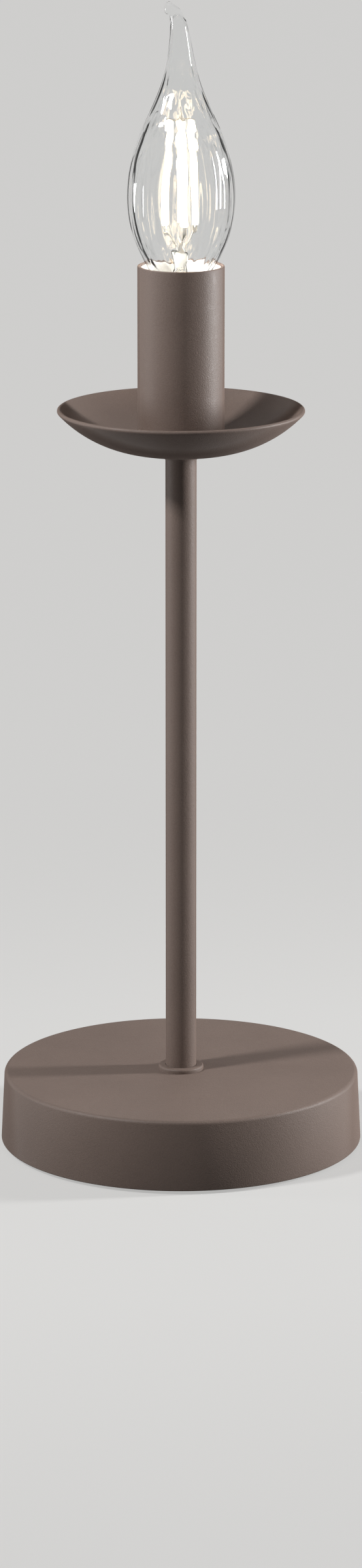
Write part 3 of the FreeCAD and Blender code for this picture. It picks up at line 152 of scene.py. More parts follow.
def noise(tree, place, scale, detail, roughness):
    """A noise texture from 0 to 1; the scale is its number of lumps to the metre."""
    lumps = add_node(tree, "ShaderNodeTexNoise", Vector=place, Scale=scale, Detail=detail,
                     Roughness=roughness)
    return lumps.outputs["Fac"]


def remap(tree, value, span, result=(0.0, 1.0)):
    """Carries a span of values over to another span, and holds what lies outside at its ends."""
    carried = add_node(tree, "ShaderNodeMapRange", Value=value, From_Min=span[0], From_Max=span[1],
                       To_Min=result[0], To_Max=result[1])
    return carried.outputs["Result"]


def combine(tree, operation, first, second):
    """A sum, product, difference or maximum of two terms."""
    node = tree.nodes.new("ShaderNodeMath")
    node.operation = operation
    feed(tree, first, node.inputs[0])
    feed(tree, second, node.inputs[1])
    return node.outputs["Value"]


def blend_colours(tree, share, first, second):
    """Runs from the first colour to the second by the share; a colour is four numbers or an output."""
    mixer = tree.nodes.new("ShaderNodeMix")
    mixer.data_type = "RGBA"
    feed_all(tree, mixer, Factor=share, A=first, B=second)
    return mixer.outputs["Result"]


def bumped(tree, height, strength, relief):
    """The normals of a bumped surface, whose bumps rise by the relief."""
    bumps = add_node(tree, "ShaderNodeBump", Height=height, Strength=strength, Distance=relief)
    return bumps.outputs["Normal"]


def group_of_nodes(name, inputs, outputs):
    """A shader node group with named number inputs and outputs, and the node that its outputs are fed to."""
    group = bpy.data.node_groups.new(name, "ShaderNodeTree")
    for label, value in inputs:
        socket = group.interface.new_socket(name=label, in_out="INPUT", socket_type="NodeSocketFloat")
        socket.default_value = value
    for label in outputs:
        group.interface.new_socket(name=label, in_out="OUTPUT", socket_type="NodeSocketFloat")
    entry = group.nodes.new("NodeGroupInput")
    leave = group.nodes.new("NodeGroupOutput")
    return group, entry.outputs, leave


# Grain: fine bumps of one size over coarser ones, for every finish but the clear glass.
COARSE_GRAIN_SHARE = 0.31
SPECK_SPAN = (0.30, 0.72)
grain, grain_in, grain_end = group_of_nodes(
    "grain", [("Grains per metre", 2000), ("Unevenness", 0.3)], ["Height", "Specks"])
grain_place = object_place(grain)
fine_scale = grain_in["Grains per metre"]
coarse_scale = combine(grain, "MULTIPLY", fine_scale, COARSE_GRAIN_SHARE)
fine = noise(grain, grain_place, fine_scale, detail=2.0, roughness=0.55)
coarse = noise(grain, grain_place, coarse_scale, detail=1.0, roughness=0.5)
uneven = combine(grain, "MULTIPLY", coarse, grain_in["Unevenness"])
feed_all(grain, grain_end, Height=combine(grain, "ADD", fine, uneven), Specks=remap(grain, fine, SPECK_SPAN))

# Wear: broad clouds from handling and dust, and small spots that are rubbed smoother.
CLOUD_SPAN = (0.32, 0.68)
SPOT_SPAN = (0.58, 0.74)
RUBBED_SHARE = 0.4
wear, wear_in, wear_end = group_of_nodes(
    "wear", [("Clouds per metre", 30), ("Spots per metre", 400)], ["Clouds", "Spots"])
wear_place = object_place(wear)
clouds = noise(wear, wear_place, wear_in["Clouds per metre"], detail=3.0, roughness=0.6)
spots = noise(wear, wear_place, wear_in["Spots per metre"], detail=2.0, roughness=0.5)
feed_all(wear, wear_end, Clouds=remap(wear, clouds, CLOUD_SPAN), Spots=remap(wear, spots, SPOT_SPAN))


def use_group(tree, group, **values):
    """Places a node group in a material, with its own values."""
    node = tree.nodes.new("ShaderNodeGroup")
    node.node_tree = group
    feed_all(tree, node, **values)
    return node.outputs


def new_material(name):
    """A new material, with its node tree and the Principled shader in that."""
    material = bpy.data.materials.new(name)
    material.use_nodes = True
    return material, material.node_tree, material.node_tree.nodes["Principled BSDF"]


def finish_of(name, dark, light, rough, metallic=0.0, specular=0.5, grains=2000, bump=0.2, relief=0.00003,
              cloud=0.35, clouds=30):
    """A bumped finish whose colour runs from dark to light, and its roughness up, with grain and clouds.

    Rough is its least and its most roughness, grains and clouds are counted to the metre, relief is the
    height of its bumps, and cloud is the share of the clouds beside the grain.
    """
    material, tree, shader = new_material(name)
    specks = use_group(tree, grain, Grains_per_metre=grains)
    handled = use_group(tree, wear, Clouds_per_metre=clouds)
    speck_share = combine(tree, "MULTIPLY", specks["Specks"], 1.0 - cloud)
    cloud_share = combine(tree, "MULTIPLY", handled["Clouds"], cloud)
    share = combine(tree, "ADD", speck_share, cloud_share)
    rubbed = combine(tree, "MULTIPLY", handled["Spots"], RUBBED_SHARE)
    dull = combine(tree, "SUBTRACT", share, rubbed)
    feed_all(tree, shader, Metallic=metallic, Specular_IOR_Level=specular,
             Base_Color=blend_colours(tree, share, (*dark, 1), (*light, 1)),
             Roughness=remap(tree, dull, (0.0, 1.0), rough),
             Normal=bumped(tree, specks["Height"], bump, relief))
    return material


def dress(piece, material, slot=None, body=None, replaced=()):
    """Gives a piece its material. A new piece, told apart by a slot name that is not recorded, also goes on
    its body and hides the nodes it stands for.
    """
    if slot is None:
        piece.material_slots[0].material = material
        return
    piece.data.materials.clear()
    piece.data.materials.append(material)
    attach(piece, body)
    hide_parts(*replaced)


pad_profile = [
    (PAD_OUTER_RADIUS, 0.0),
    (PAD_OUTER_RADIUS, PAD_THICKNESS),
    (PAD_INNER_RADIUS, PAD_THICKNESS),
    (PAD_INNER_RADIUS, 0.0),
]
pad = turned("foam_foot_pad", pad_profile, PAD_SIDES)
round_rings(pad, [(PAD_OUTER_RADIUS, 0.0), (PAD_INNER_RADIUS, 0.0)], PAD_EDGE_ROUND, steps=3)
smooth(pad)
foam = finish_of("black_foam", FOAM_DARK, FOAM_LIGHT, rough=(0.85, 0.98), grains=3200, bump=0.6,
                 relief=0.0002)
dress(pad, foam, "foam", "stand", ["foot_pad"])

# Bottom plate and its screws: a zinc-plated steel disc closes the base from below. Three countersunk
# screws hold it to the bosses of the weight.
ZINC_DARK = (0.40, 0.41, 0.43)
ZINC_LIGHT = (0.60, 0.61, 0.63)
zinc = finish_of("zinc_plated_steel", ZINC_DARK, ZINC_LIGHT, rough=(0.28, 0.46), metallic=1.0, grains=900,
                 bump=0.10, relief=0.00002, cloud=0.7, clouds=55)
dress(nodes["bottom_plate"], zinc)
dress(nodes["plate_screws"], zinc)

# Ballast weight: grey cast iron, poured in sand, so its skin is rough. It fills the base and carries the
# bosses for the plate's screws and the hole for the earth screw.
CAST_DARK = (0.020, 0.020, 0.021)
CAST_LIGHT = (0.060, 0.060, 0.062)
cast = finish_of("sand_cast_iron", CAST_DARK, CAST_LIGHT, rough=(0.60, 0.85), metallic=0.6, grains=1100,
                 bump=0.8, relief=0.0003)
dress(nodes["ballast_weight"], cast)

# Base cover: a spun steel dish with a slight draft and a rounded top edge, open below. Its hole takes
# the stem, and a punched hole in its rear wall takes the cord's bush.
COVER_FOOT = 0.0010
COVER_TOP = 0.0245
COVER_FOOT_RADIUS = 0.0603
COVER_DRAFT = 0.0012
COVER_TOP_RADIUS = COVER_FOOT_RADIUS - COVER_DRAFT
COVER_WALL = 0.0015
COVER_HOLE_RADIUS = 0.0053
COVER_TOP_ROUND = 0.0013
COVER_INSIDE_ROUND = 0.0008
COVER_FOOT_ROUND = 0.0004
COVER_SIDES = 192
BUSH_AXIS_HEIGHT = 0.00875
BUSH_HOLE_RADIUS = 0.0033
PUNCH_LENGTH = 0.008
PUNCH_SIDES = 64
cover_profile = [
    (COVER_FOOT_RADIUS, COVER_FOOT),
    (COVER_TOP_RADIUS, COVER_TOP),
    (COVER_HOLE_RADIUS, COVER_TOP),
    (COVER_HOLE_RADIUS, COVER_TOP - COVER_WALL),
    (COVER_TOP_RADIUS - COVER_WALL, COVER_TOP - COVER_WALL),
    (COVER_FOOT_RADIUS - COVER_WALL, COVER_FOOT),
]
cover = turned("spun_base_cover", cover_profile, COVER_SIDES)
round_rings(cover, [(COVER_TOP_RADIUS, COVER_TOP)], COVER_TOP_ROUND, steps=6)
round_rings(cover, [(COVER_TOP_RADIUS - COVER_WALL, COVER_TOP - COVER_WALL)], COVER_INSIDE_ROUND, steps=3)
round_rings(cover, [(COVER_FOOT_RADIUS, COVER_FOOT)], COVER_FOOT_ROUND, steps=3)
bpy.ops.object.select_all(action="DESELECT")
bpy.ops.mesh.primitive_cylinder_add(vertices=PUNCH_SIDES, radius=BUSH_HOLE_RADIUS, depth=PUNCH_LENGTH,
                                    location=(0, COVER_FOOT_RADIUS, BUSH_AXIS_HEIGHT),
                                    rotation=(math.pi / 2, 0, 0))
punch = bpy.context.object
bush_hole = cover.modifiers.new("punched", "BOOLEAN")
bush_hole.object = punch
bush_hole.operation = "DIFFERENCE"
bush_hole.solver = "EXACT"
bpy.context.view_layer.objects.active = cover
bpy.ops.object.modifier_apply(modifier=bush_hole.name)
bpy.data.objects.remove(punch)
smooth(cover)

# Powder coat: a fine-textured matt taupe coat baked on all the metal that shows. Its grains are about
# four tenths of a millimetre across, and handling leaves faint clouds in it. At a low angle the grains
# break up the gloss.
COAT_DARK = (0.140, 0.101, 0.084)
COAT_LIGHT = (0.195, 0.144, 0.121)
LOW_ANGLE_SPAN = (0.62, 0.75)
LOW_ANGLE_DULLING = 0.42
coat = finish_of("taupe_powder_coat", COAT_DARK, COAT_LIGHT, rough=(0.47, 0.63), specular=0.40, grains=2600,
                 bump=0.70, relief=0.00011, cloud=0.4, clouds=26)
tree = coat.node_tree
roughness = tree.nodes["Principled BSDF"].inputs["Roughness"]
slant = tree.nodes.new("ShaderNodeLayerWeight").outputs["Facing"]
dulling = remap(tree, slant, LOW_ANGLE_SPAN, (0.0, LOW_ANGLE_DULLING))
feed(tree, combine(tree, "ADD", roughness.links[0].from_socket, dulling), roughness)
dress(cover, coat, "powder_coat", "stand", ["base_cover"])

# Cord bush: a moulded rubber grommet, snapped into the cover's rear wall with a flange on each side. It
# keeps the cord off the sheet's edge.
RUBBER_DARK = (0.012, 0.012, 0.012)
RUBBER_LIGHT = (0.028, 0.028, 0.028)
rubber = finish_of("black_rubber", RUBBER_DARK, RUBBER_LIGHT, rough=(0.55, 0.75), grains=1600, bump=0.25,
                   relief=0.00005)
dress(nodes["cord_inlet_bush"], rubber)

# Terminal block: pale moulded plastic with three brass sleeves and their zinc-plated screws, where the
# cord meets the wires of the stem. One more screw between two poles holds it down on the plate.
BLOCK_DARK = (0.60, 0.59, 0.54)
BLOCK_LIGHT = (0.72, 0.71, 0.66)
BRASS_DARK = (0.48, 0.30, 0.10)
BRASS_LIGHT = (0.68, 0.46, 0.18)
block_plastic = finish_of("pale_block_plastic", BLOCK_DARK, BLOCK_LIGHT, rough=(0.35, 0.50), grains=1500,
                          bump=0.1, cloud=0.6)
brass = finish_of("bare_brass", BRASS_DARK, BRASS_LIGHT, rough=(0.25, 0.42), metallic=1.0, grains=1200,
                  bump=0.1, relief=0.00002, cloud=0.7, clouds=90)
dress(nodes["terminal_block"], block_plastic)
dress(nodes["terminal_sleeves"], brass)
dress(nodes["terminal_screws"], zinc)
dress(nodes["terminal_fixing_screw"], zinc)

# Earth tag: a stamped brass ring tongue, crimped on the earth wire. A zinc-plated screw holds it under
# the weight.
dress(nodes["earth_tag"], brass)
dress(nodes["earth_screw"], zinc)

# Stem washer and nut: a toothed washer and a thin hexagon nut pull the collar, the cover and the weight
# together on the stem's thread.
dress(nodes["stem_washer"], zinc)
dress(nodes["stem_nut"], zinc)

# Foot collar: a thin turned ring that hides the hole in the cover, coated as the rest. The shoulder of the
# stem holds it down.
COLLAR_RADIUS = 0.0075
COLLAR_THICKNESS = 0.0015
COLLAR_FOOT = COVER_TOP
COLLAR_TOP = COLLAR_FOOT + COLLAR_THICKNESS
COLLAR_EDGE_ROUND = 0.0006
COLLAR_SIDES = 96
STEM_HOLE_RADIUS = 0.0052
collar_profile = [
    (COLLAR_RADIUS, COLLAR_FOOT),
    (COLLAR_RADIUS, COLLAR_TOP),
    (STEM_HOLE_RADIUS, COLLAR_TOP),
    (STEM_HOLE_RADIUS, COLLAR_FOOT),
]
collar = turned("turned_foot_collar", collar_profile, COLLAR_SIDES)
round_rings(collar, [(COLLAR_RADIUS, COLLAR_TOP)], COLLAR_EDGE_ROUND, steps=5)
smooth(collar)
dress(collar, coat, "powder_coat", "stand", ["foot_collar"])

# Stem: a drawn steel tube, 10.2 mm across with its coat, with a short thread at each end that the nuts
# hide. Two wires run up inside it.
dress(nodes["stem_tube"], coat)

# Pan cone: a small turned ring that flares out under the pan in a hollow curve. It sits on the shoulder
# at the stem's top and is coated as the rest.
CONE_FOOT = 0.2323
CONE_HEIGHT = 0.0024
CONE_BAND_WIDTH = 0.0005
CONE_TOP = CONE_FOOT + CONE_HEIGHT
CONE_BAND = CONE_TOP - CONE_BAND_WIDTH
CONE_FOOT_RADIUS = 0.0054
CONE_TOP_RADIUS = 0.00685
CONE_STEPS = 8
CONE_SIDES = 96
cone_profile = [(STEM_HOLE_RADIUS, CONE_FOOT), (CONE_FOOT_RADIUS, CONE_FOOT)]
for step in range(1, CONE_STEPS + 1):
    angle = math.pi / 2 * step / CONE_STEPS
    flare = CONE_FOOT_RADIUS + (CONE_TOP_RADIUS - CONE_FOOT_RADIUS) * (1 - math.cos(angle))
    cone_profile.append((flare, CONE_FOOT + (CONE_BAND - CONE_FOOT) * math.sin(angle)))
cone_profile.append((CONE_TOP_RADIUS, CONE_TOP))
cone_profile.append((STEM_HOLE_RADIUS, CONE_TOP))
cone = turned("turned_pan_cone", cone_profile, CONE_SIDES)
smooth(cone, degrees=50)
dress(cone, coat, "powder_coat", "stand", ["pan_cone"])

# Drip pan: a shallow dish spun from sheet steel, flat in the middle where it is clamped on the stem. Its
# wall rises in an arc to a rounded rim.
PAN_UNDERSIDE = CONE_TOP
PAN_HALF_WALL = 0.0007
PAN_HOLE_RADIUS = 0.0053
PAN_FLOOR_RADIUS = 0.0100
PAN_ARC_RADIUS = 0.040857
PAN_ARC_CENTRE = PAN_UNDERSIDE + PAN_HALF_WALL + PAN_ARC_RADIUS
PAN_RIM_RADIUS = 0.0397
PAN_RIM_HEIGHT = 0.2482
PAN_STEPS = 28
RIM_STEPS = 10
PAN_SIDES = 160
pan_slope = math.atan2(PAN_RIM_RADIUS - PAN_FLOOR_RADIUS, PAN_ARC_CENTRE - PAN_RIM_HEIGHT)


def pan_arc(distance):
    """Points of the dish's arc at a distance from the sheet's middle, from the floor out to the rim."""
    radius = PAN_ARC_RADIUS + distance
    points = []
    for step in range(PAN_STEPS + 1):
        angle = pan_slope * step / PAN_STEPS
        points.append((PAN_FLOOR_RADIUS + radius * math.sin(angle),
                       PAN_ARC_CENTRE - radius * math.cos(angle)))
    return points


rim_points = []
for step in range(1, RIM_STEPS):
    angle = pan_slope - math.pi / 2 + math.pi * step / RIM_STEPS
    rim_points.append((PAN_RIM_RADIUS + PAN_HALF_WALL * math.cos(angle),
                       PAN_RIM_HEIGHT + PAN_HALF_WALL * math.sin(angle)))
pan_profile = [(PAN_HOLE_RADIUS, PAN_UNDERSIDE)] + pan_arc(PAN_HALF_WALL) + rim_points
pan_profile += pan_arc(-PAN_HALF_WALL)[::-1] + [(PAN_HOLE_RADIUS, PAN_UNDERSIDE + 2 * PAN_HALF_WALL)]
pan = turned("spun_drip_pan", pan_profile, PAN_SIDES)
smooth(pan, degrees=40)
dress(pan, coat, "powder_coat", "stand", ["drip_pan"])

# Holder strap, pan washer and pan nut: the zinc-plated strap carries the lampholder. The nut clamps it, the
# pan and the cone against the stem's upper shoulder.
dress(nodes["holder_strap"], zinc)
dress(nodes["holder_strap_screw"], zinc)
dress(nodes["pan_washer"], zinc)
dress(nodes["pan_nut"], zinc)

# Lampholder: a white moulded body screwed to the strap, with a rolled nickel-plated thread shell, a springy
# bronze centre contact and two brass terminals with zinc-plated screws.
HOLDER_DARK = (0.72, 0.71, 0.67)
HOLDER_LIGHT = (0.82, 0.81, 0.77)
NICKEL_DARK = (0.52, 0.50, 0.46)
NICKEL_LIGHT = (0.66, 0.64, 0.60)
BRONZE_DARK = (0.42, 0.24, 0.09)
BRONZE_LIGHT = (0.56, 0.34, 0.14)
white_plastic = finish_of("white_moulded_plastic", HOLDER_DARK, HOLDER_LIGHT, rough=(0.32, 0.48),
                          grains=1500, bump=0.1, cloud=0.6)
nickel = finish_of("nickel_plate", NICKEL_DARK, NICKEL_LIGHT, rough=(0.16, 0.30), metallic=1.0, grains=1300,
                   bump=0.06, relief=0.00002, cloud=0.7, clouds=120)
bronze = finish_of("spring_bronze", BRONZE_DARK, BRONZE_LIGHT, rough=(0.25, 0.40), metallic=1.0, grains=1300,
                   bump=0.08, relief=0.00002, cloud=0.7, clouds=120)
dress(nodes["holder_body"], white_plastic)
dress(nodes["holder_terminals"], brass)
dress(nodes["holder_terminal_screws"], zinc)
dress(nodes["holder_shell"], nickel)
dress(nodes["holder_centre_contact"], bronze)

# Wires: three stranded wires in coloured insulation, a blue and a brown one up the stem to the lampholder,
# and a green and yellow one to the earth tag.
BLUE_DARK = (0.010, 0.050, 0.30)
BLUE_LIGHT = (0.018, 0.080, 0.40)
BROWN_DARK = (0.060, 0.022, 0.008)
BROWN_LIGHT = (0.095, 0.036, 0.014)
EARTH_GREEN = (0.02, 0.20, 0.03)
EARTH_YELLOW = (0.75, 0.60, 0.04)
blue = finish_of("blue_insulation", BLUE_DARK, BLUE_LIGHT, rough=(0.35, 0.50), bump=0.1)
brown = finish_of("brown_insulation", BROWN_DARK, BROWN_LIGHT, rough=(0.35, 0.50), bump=0.1)
earth = finish_of("green_and_yellow_insulation", EARTH_GREEN, EARTH_YELLOW, rough=(0.35, 0.50), grains=300,
                  bump=0.1)
dress(nodes["neutral_wire"], blue)
dress(nodes["live_wire"], brown)
dress(nodes["earth_wire"], earth)

# Candle sleeve: a plain drawn steel tube, coated as the rest, with the edges of its cut rim a little
# rounded. It stands in the pan around the lampholder and lifts off when the bulb is out.
SLEEVE_LIFT = 0.00025
SLEEVE_FOOT = PAN_UNDERSIDE + 2 * PAN_HALF_WALL + SLEEVE_LIFT
SLEEVE_TOP = 0.2958
SLEEVE_RADIUS = 0.01415
SLEEVE_WALL = 0.0010
SLEEVE_BORE_RADIUS = SLEEVE_RADIUS - SLEEVE_WALL
SLEEVE_RIM_ROUND = 0.0003
SLEEVE_SIDES = 128
sleeve_profile = [
    (SLEEVE_RADIUS, SLEEVE_FOOT),
    (SLEEVE_RADIUS, SLEEVE_TOP),
    (SLEEVE_BORE_RADIUS, SLEEVE_TOP),
    (SLEEVE_BORE_RADIUS, SLEEVE_FOOT),
]
sleeve = turned("drawn_candle_sleeve", sleeve_profile, SLEEVE_SIDES)
round_rings(sleeve, [(SLEEVE_RADIUS, SLEEVE_TOP), (SLEEVE_BORE_RADIUS, SLEEVE_TOP)], SLEEVE_RIM_ROUND,
            steps=3)
smooth(sleeve)
dress(sleeve, coat, "powder_coat", "stand", ["candle_sleeve"])

# Sleeve liner: a bright white insulating tube pushed into the sleeve. Light from the bulb makes its mouth
# glow, so that it shows as a white ring round the foot of the glass.
LINER_SETBACK = 0.0005
LINER_GAP = 0.0001
LINER_WALL = 0.0008
LINER_TOP = SLEEVE_TOP - LINER_SETBACK
LINER_RADIUS = SLEEVE_BORE_RADIUS - LINER_GAP
LINER_BORE_RADIUS = LINER_RADIUS - LINER_WALL
LINER_RIM_ROUND = 0.0002
LINER_SIDES = 128
LINER_DARK = (0.80, 0.79, 0.76)
LINER_LIGHT = (0.88, 0.87, 0.84)
liner_profile = [
    (LINER_RADIUS, SLEEVE_FOOT),
    (LINER_RADIUS, LINER_TOP),
    (LINER_BORE_RADIUS, LINER_TOP),
    (LINER_BORE_RADIUS, SLEEVE_FOOT),
]
liner = turned("white_sleeve_liner", liner_profile, LINER_SIDES)
round_rings(liner, [(LINER_RADIUS, LINER_TOP), (LINER_BORE_RADIUS, LINER_TOP)], LINER_RIM_ROUND, steps=2)
smooth(liner)
liner_white = finish_of("liner_white", LINER_DARK, LINER_LIGHT, rough=(0.45, 0.60), grains=1400, bump=0.1,
                        cloud=0.6)
dress(liner, liner_white, "liner_white", "stand", ["sleeve_liner"])

# Bulb cap: a rolled nickel-plated thread with a black glass insulator and a soldered tip, filled with a
# small driver in resin.
SOLDER_DARK = (0.46, 0.47, 0.48)
SOLDER_LIGHT = (0.62, 0.63, 0.64)
BLACK_GLASS_DARK = (0.006, 0.006, 0.007)
BLACK_GLASS_LIGHT = (0.014, 0.014, 0.015)
RESIN_DARK = (0.50, 0.50, 0.47)
RESIN_LIGHT = (0.62, 0.62, 0.59)
solder = finish_of("tip_solder", SOLDER_DARK, SOLDER_LIGHT, rough=(0.25, 0.45), metallic=1.0, grains=900,
                   bump=0.3, relief=0.00005, cloud=0.6, clouds=200)
black_glass = finish_of("black_cap_glass", BLACK_GLASS_DARK, BLACK_GLASS_LIGHT, rough=(0.08, 0.18),
                        grains=900, bump=0.05)
resin = finish_of("driver_resin", RESIN_DARK, RESIN_LIGHT, rough=(0.45, 0.65), bump=0.3)
dress(nodes["cap_tip"], solder)
dress(nodes["cap_insulator"], black_glass)
dress(nodes["cap_shell"], nickel)
dress(nodes["bulb_driver"], resin)

# Glass: the clear envelope is blown in a mould and drawn out at the top into a bent tip, which is melted
# off in a small bead. Its wall is a little uneven, so its reflections run in long wavy stripes.
GLASS_WALL = 0.0008
GLASS_SIDES = 96
# height of a ring's centre, its radius, its shift to the left and its tilt
GLASS_RINGS = [
    (0.2828, 0.00700, 0, 0),
    (0.2869, 0.00709, 0, 0),
    (0.2912, 0.00880, 0, 0),
    (0.2958, 0.01125, 0, 0),
    (0.3000, 0.01350, 0, 0),
    (0.3045, 0.01545, 0, 0),
    (0.3090, 0.01665, 0, 0),
    (0.3140, 0.01740, 0, 0),
    (0.3190, 0.01755, 0, 0),
    (0.3240, 0.01725, 0, 0),
    (0.3290, 0.01640, 0, 0),
    (0.3340, 0.01500, 0, 0),
    (0.3392, 0.01310, 0, 0),
    (0.3444, 0.01070, 0, 0),
    (0.3496, 0.00830, 0, 0),
    (0.3546, 0.00630, 0, 0),
    (0.3596, 0.00500, 0, 0),
    (0.3646, 0.00400, 0.0001, 1),
    (0.3694, 0.00335, 0.0003, 4),
    (0.3733, 0.00285, 0.0007, 12),
]
# the melted tip above them is solid, and the last rings close its hollow from above
BEAD_RINGS = [
    (0.37610, 0.00240, 0.00140, 28),
    (0.37780, 0.00208, 0.00230, 50),
    (0.37870, 0.00190, 0.00340, 74),
    (0.37887, 0.00209, 0.00398, 74),
    (0.37904, 0.00198, 0.00456, 76),
    (0.37920, 0.00135, 0.00512, 78),
    (0.37930, 0.00060, 0.00540, 80),
]
HOLLOW_END_RINGS = [
    (0.3768, 0.0004, 0.0018, 34),
    (0.3762, 0.0011, 0.0015, 28),
    (0.3750, 0.0016, 0.0011, 20),
]


def close_end():
    """Closes the selected ring of an open body with a fan of faces to its centre."""
    bpy.ops.mesh.extrude_region_move(TRANSFORM_OT_translate={"value": (0, 0, 0)})
    bpy.ops.mesh.merge(type="CENTER")


def blown(name, rings, sides):
    """A closed body drawn through oval rings: height, half width, half depth, shift to the left, tilt."""
    height, width, depth, shift, tilt = rings[0]
    centre = (-shift, 0, height)
    bpy.ops.object.select_all(action="DESELECT")
    bpy.ops.mesh.primitive_circle_add(vertices=sides, radius=width, location=centre)
    piece = bpy.context.object
    piece.name = name
    piece.data.name = name
    bpy.ops.object.mode_set(mode="EDIT")
    bpy.ops.transform.resize(value=(1, depth / width, 1), center_override=centre)
    bpy.ops.transform.rotate(value=math.radians(tilt), orient_axis="Y", center_override=centre)
    close_end()
    bpy.ops.object.mode_set(mode="OBJECT")
    for point in piece.data.vertices:
        point.select = point.index < sides
    for edge in piece.data.edges:
        edge.select = max(edge.vertices) < sides
    for face in piece.data.polygons:
        face.select = False
    bpy.ops.object.mode_set(mode="EDIT")
    for next_height, next_width, next_depth, next_shift, next_tilt in rings[1:]:
        centre = (-next_shift, 0, next_height)
        step = (shift - next_shift, 0, next_height - height)
        wider = next_width / width
        turn = math.radians(next_tilt - tilt)
        bpy.ops.mesh.extrude_region_move(TRANSFORM_OT_translate={"value": step})
        bpy.ops.transform.resize(value=(wider, next_depth / depth, wider), center_override=centre)
        bpy.ops.transform.rotate(value=turn, orient_axis="Y", center_override=centre)
        height, width, depth, shift, tilt = next_height, next_width, next_depth, next_shift, next_tilt
    close_end()
    bpy.ops.mesh.select_all(action="SELECT")
    bpy.ops.mesh.normals_make_consistent(inside=False)
    bpy.ops.object.mode_set(mode="OBJECT")
    bpy.ops.object.transform_apply(location=True, rotation=True, scale=True)
    return piece


wall_rings = HOLLOW_END_RINGS[:]
for height, radius, shift, tilt in GLASS_RINGS[::-1]:
    wall_rings.append((height, radius - GLASS_WALL, shift, tilt))
wall_rings += GLASS_RINGS + BEAD_RINGS
glass = blown("bent_tip_glass", [(h, r, r, shift, tilt) for h, r, shift, tilt in wall_rings], GLASS_SIDES)

# two sets of upright ripples run round the wall between these heights, and the second one is twisted, with
# its start and its turn in radians
RIPPLE_FOOT = SLEEVE_TOP
RIPPLE_HEAD = 0.3646
RIPPLE_DEPTH = 0.00009
RIPPLE_COUNT = 13
TWISTED_COUNT = 19
TWISTED_SHARE = 0.7
TWISTED_START = 1.3
TWISTED_TURN = 2
for point in glass.data.vertices:
    share = (point.co.z - RIPPLE_FOOT) / (RIPPLE_HEAD - RIPPLE_FOOT)
    if 0 < share < 1:
        around = math.atan2(point.co.y, point.co.x)
        twisted = math.sin(TWISTED_COUNT * around + TWISTED_START + TWISTED_TURN * share)
        sway = math.sin(RIPPLE_COUNT * around) + TWISTED_SHARE * twisted
        swell = 1 + RIPPLE_DEPTH * math.sin(math.pi * share) * sway / point.co.xy.length
        point.co.x *= swell
        point.co.y *= swell
ROUNDING_LEVELS = 2
rounding = glass.modifiers.new("rounding", "SUBSURF")
rounding.levels = ROUNDING_LEVELS
rounding.render_levels = ROUNDING_LEVELS
bpy.ops.object.modifier_apply(modifier=rounding.name)
smooth(glass, degrees=80)

ENVELOPE_TINT = (0.950, 0.955, 0.955)
GLASS_IOR = 1.50
UPRIGHT_WAVES = (1.0, 1.0, 0.05)


def mix_shaders(tree, share, first, second, output):
    """Runs from the first shader to the second by the share, and feeds the output of the tree."""
    mixer = tree.nodes.new("ShaderNodeMixShader")
    feed(tree, share, mixer.inputs["Fac"])
    feed(tree, first, mixer.inputs[1])
    feed(tree, second, mixer.inputs[2])
    feed(tree, mixer.outputs["Shader"], tree.nodes[output].inputs["Surface"])


def clear_glass(name, tint, waves, bump, relief):
    """Glass that lamps shine through, with a bump in long vertical waves that draws light into stripes."""
    material, tree, shader = new_material(name)
    stretched = add_node(tree, "ShaderNodeMapping", Vector=object_place(tree), Scale=UPRIGHT_WAVES)
    ripple = noise(tree, stretched.outputs["Vector"], waves, detail=1.0, roughness=0.4)
    feed_all(tree, shader, Base_Color=(*tint, 1), Roughness=0.0, IOR=GLASS_IOR, Transmission_Weight=1.0,
             Normal=bumped(tree, ripple, bump, relief))
    shadow = tree.nodes.new("ShaderNodeLightPath").outputs["Is Shadow Ray"]
    through = tree.nodes.new("ShaderNodeBsdfTransparent").outputs["BSDF"]
    mix_shaders(tree, shadow, shader.outputs["BSDF"], through, "Material Output")
    return material


envelope_glass = clear_glass("clear_bulb_glass", ENVELOPE_TINT, waves=230, bump=1.0, relief=0.0011)
dress(glass, envelope_glass, "clear_glass", "bulb", ["bulb_glass"])

# Glass mount: a flared glass tube, pinched flat at the top around the lead wires, melted into the neck of
# the envelope.
MOUNT_SIDES = 48
MOUNT_TINT = (0.97, 0.98, 0.98)
# height of a ring, its half width and its half thickness, down the bore's wall and then up outside
MOUNT_RINGS = [
    (0.2950, 0.00080, 0.00060), (0.2944, 0.00140, 0.00130), (0.2903, 0.00170, 0.00170),
    (0.2875, 0.00225, 0.00225), (0.2853, 0.00310, 0.00310), (0.2838, 0.00430, 0.00430),
    (0.2828, 0.00530, 0.00530), (0.2828, 0.00595, 0.00595), (0.2842, 0.00480, 0.00480),
    (0.2860, 0.00370, 0.00370), (0.2880, 0.00300, 0.00300), (0.2903, 0.00260, 0.00260),
    (0.2940, 0.00250, 0.00240), (0.2965, 0.00265, 0.00165), (0.2985, 0.00275, 0.00125),
    (0.3001, 0.00265, 0.00115), (0.3008, 0.00215, 0.00070),
]
mount = blown("pinched_glass_mount", [(h, w, d, 0, 0) for h, w, d in MOUNT_RINGS], MOUNT_SIDES)
smooth(mount, degrees=60)
mount_glass = clear_glass("mount_glass", MOUNT_TINT, waves=300, bump=0.5, relief=0.0003)
dress(mount, mount_glass, "mount_glass", "bulb", ["filament_mount"])

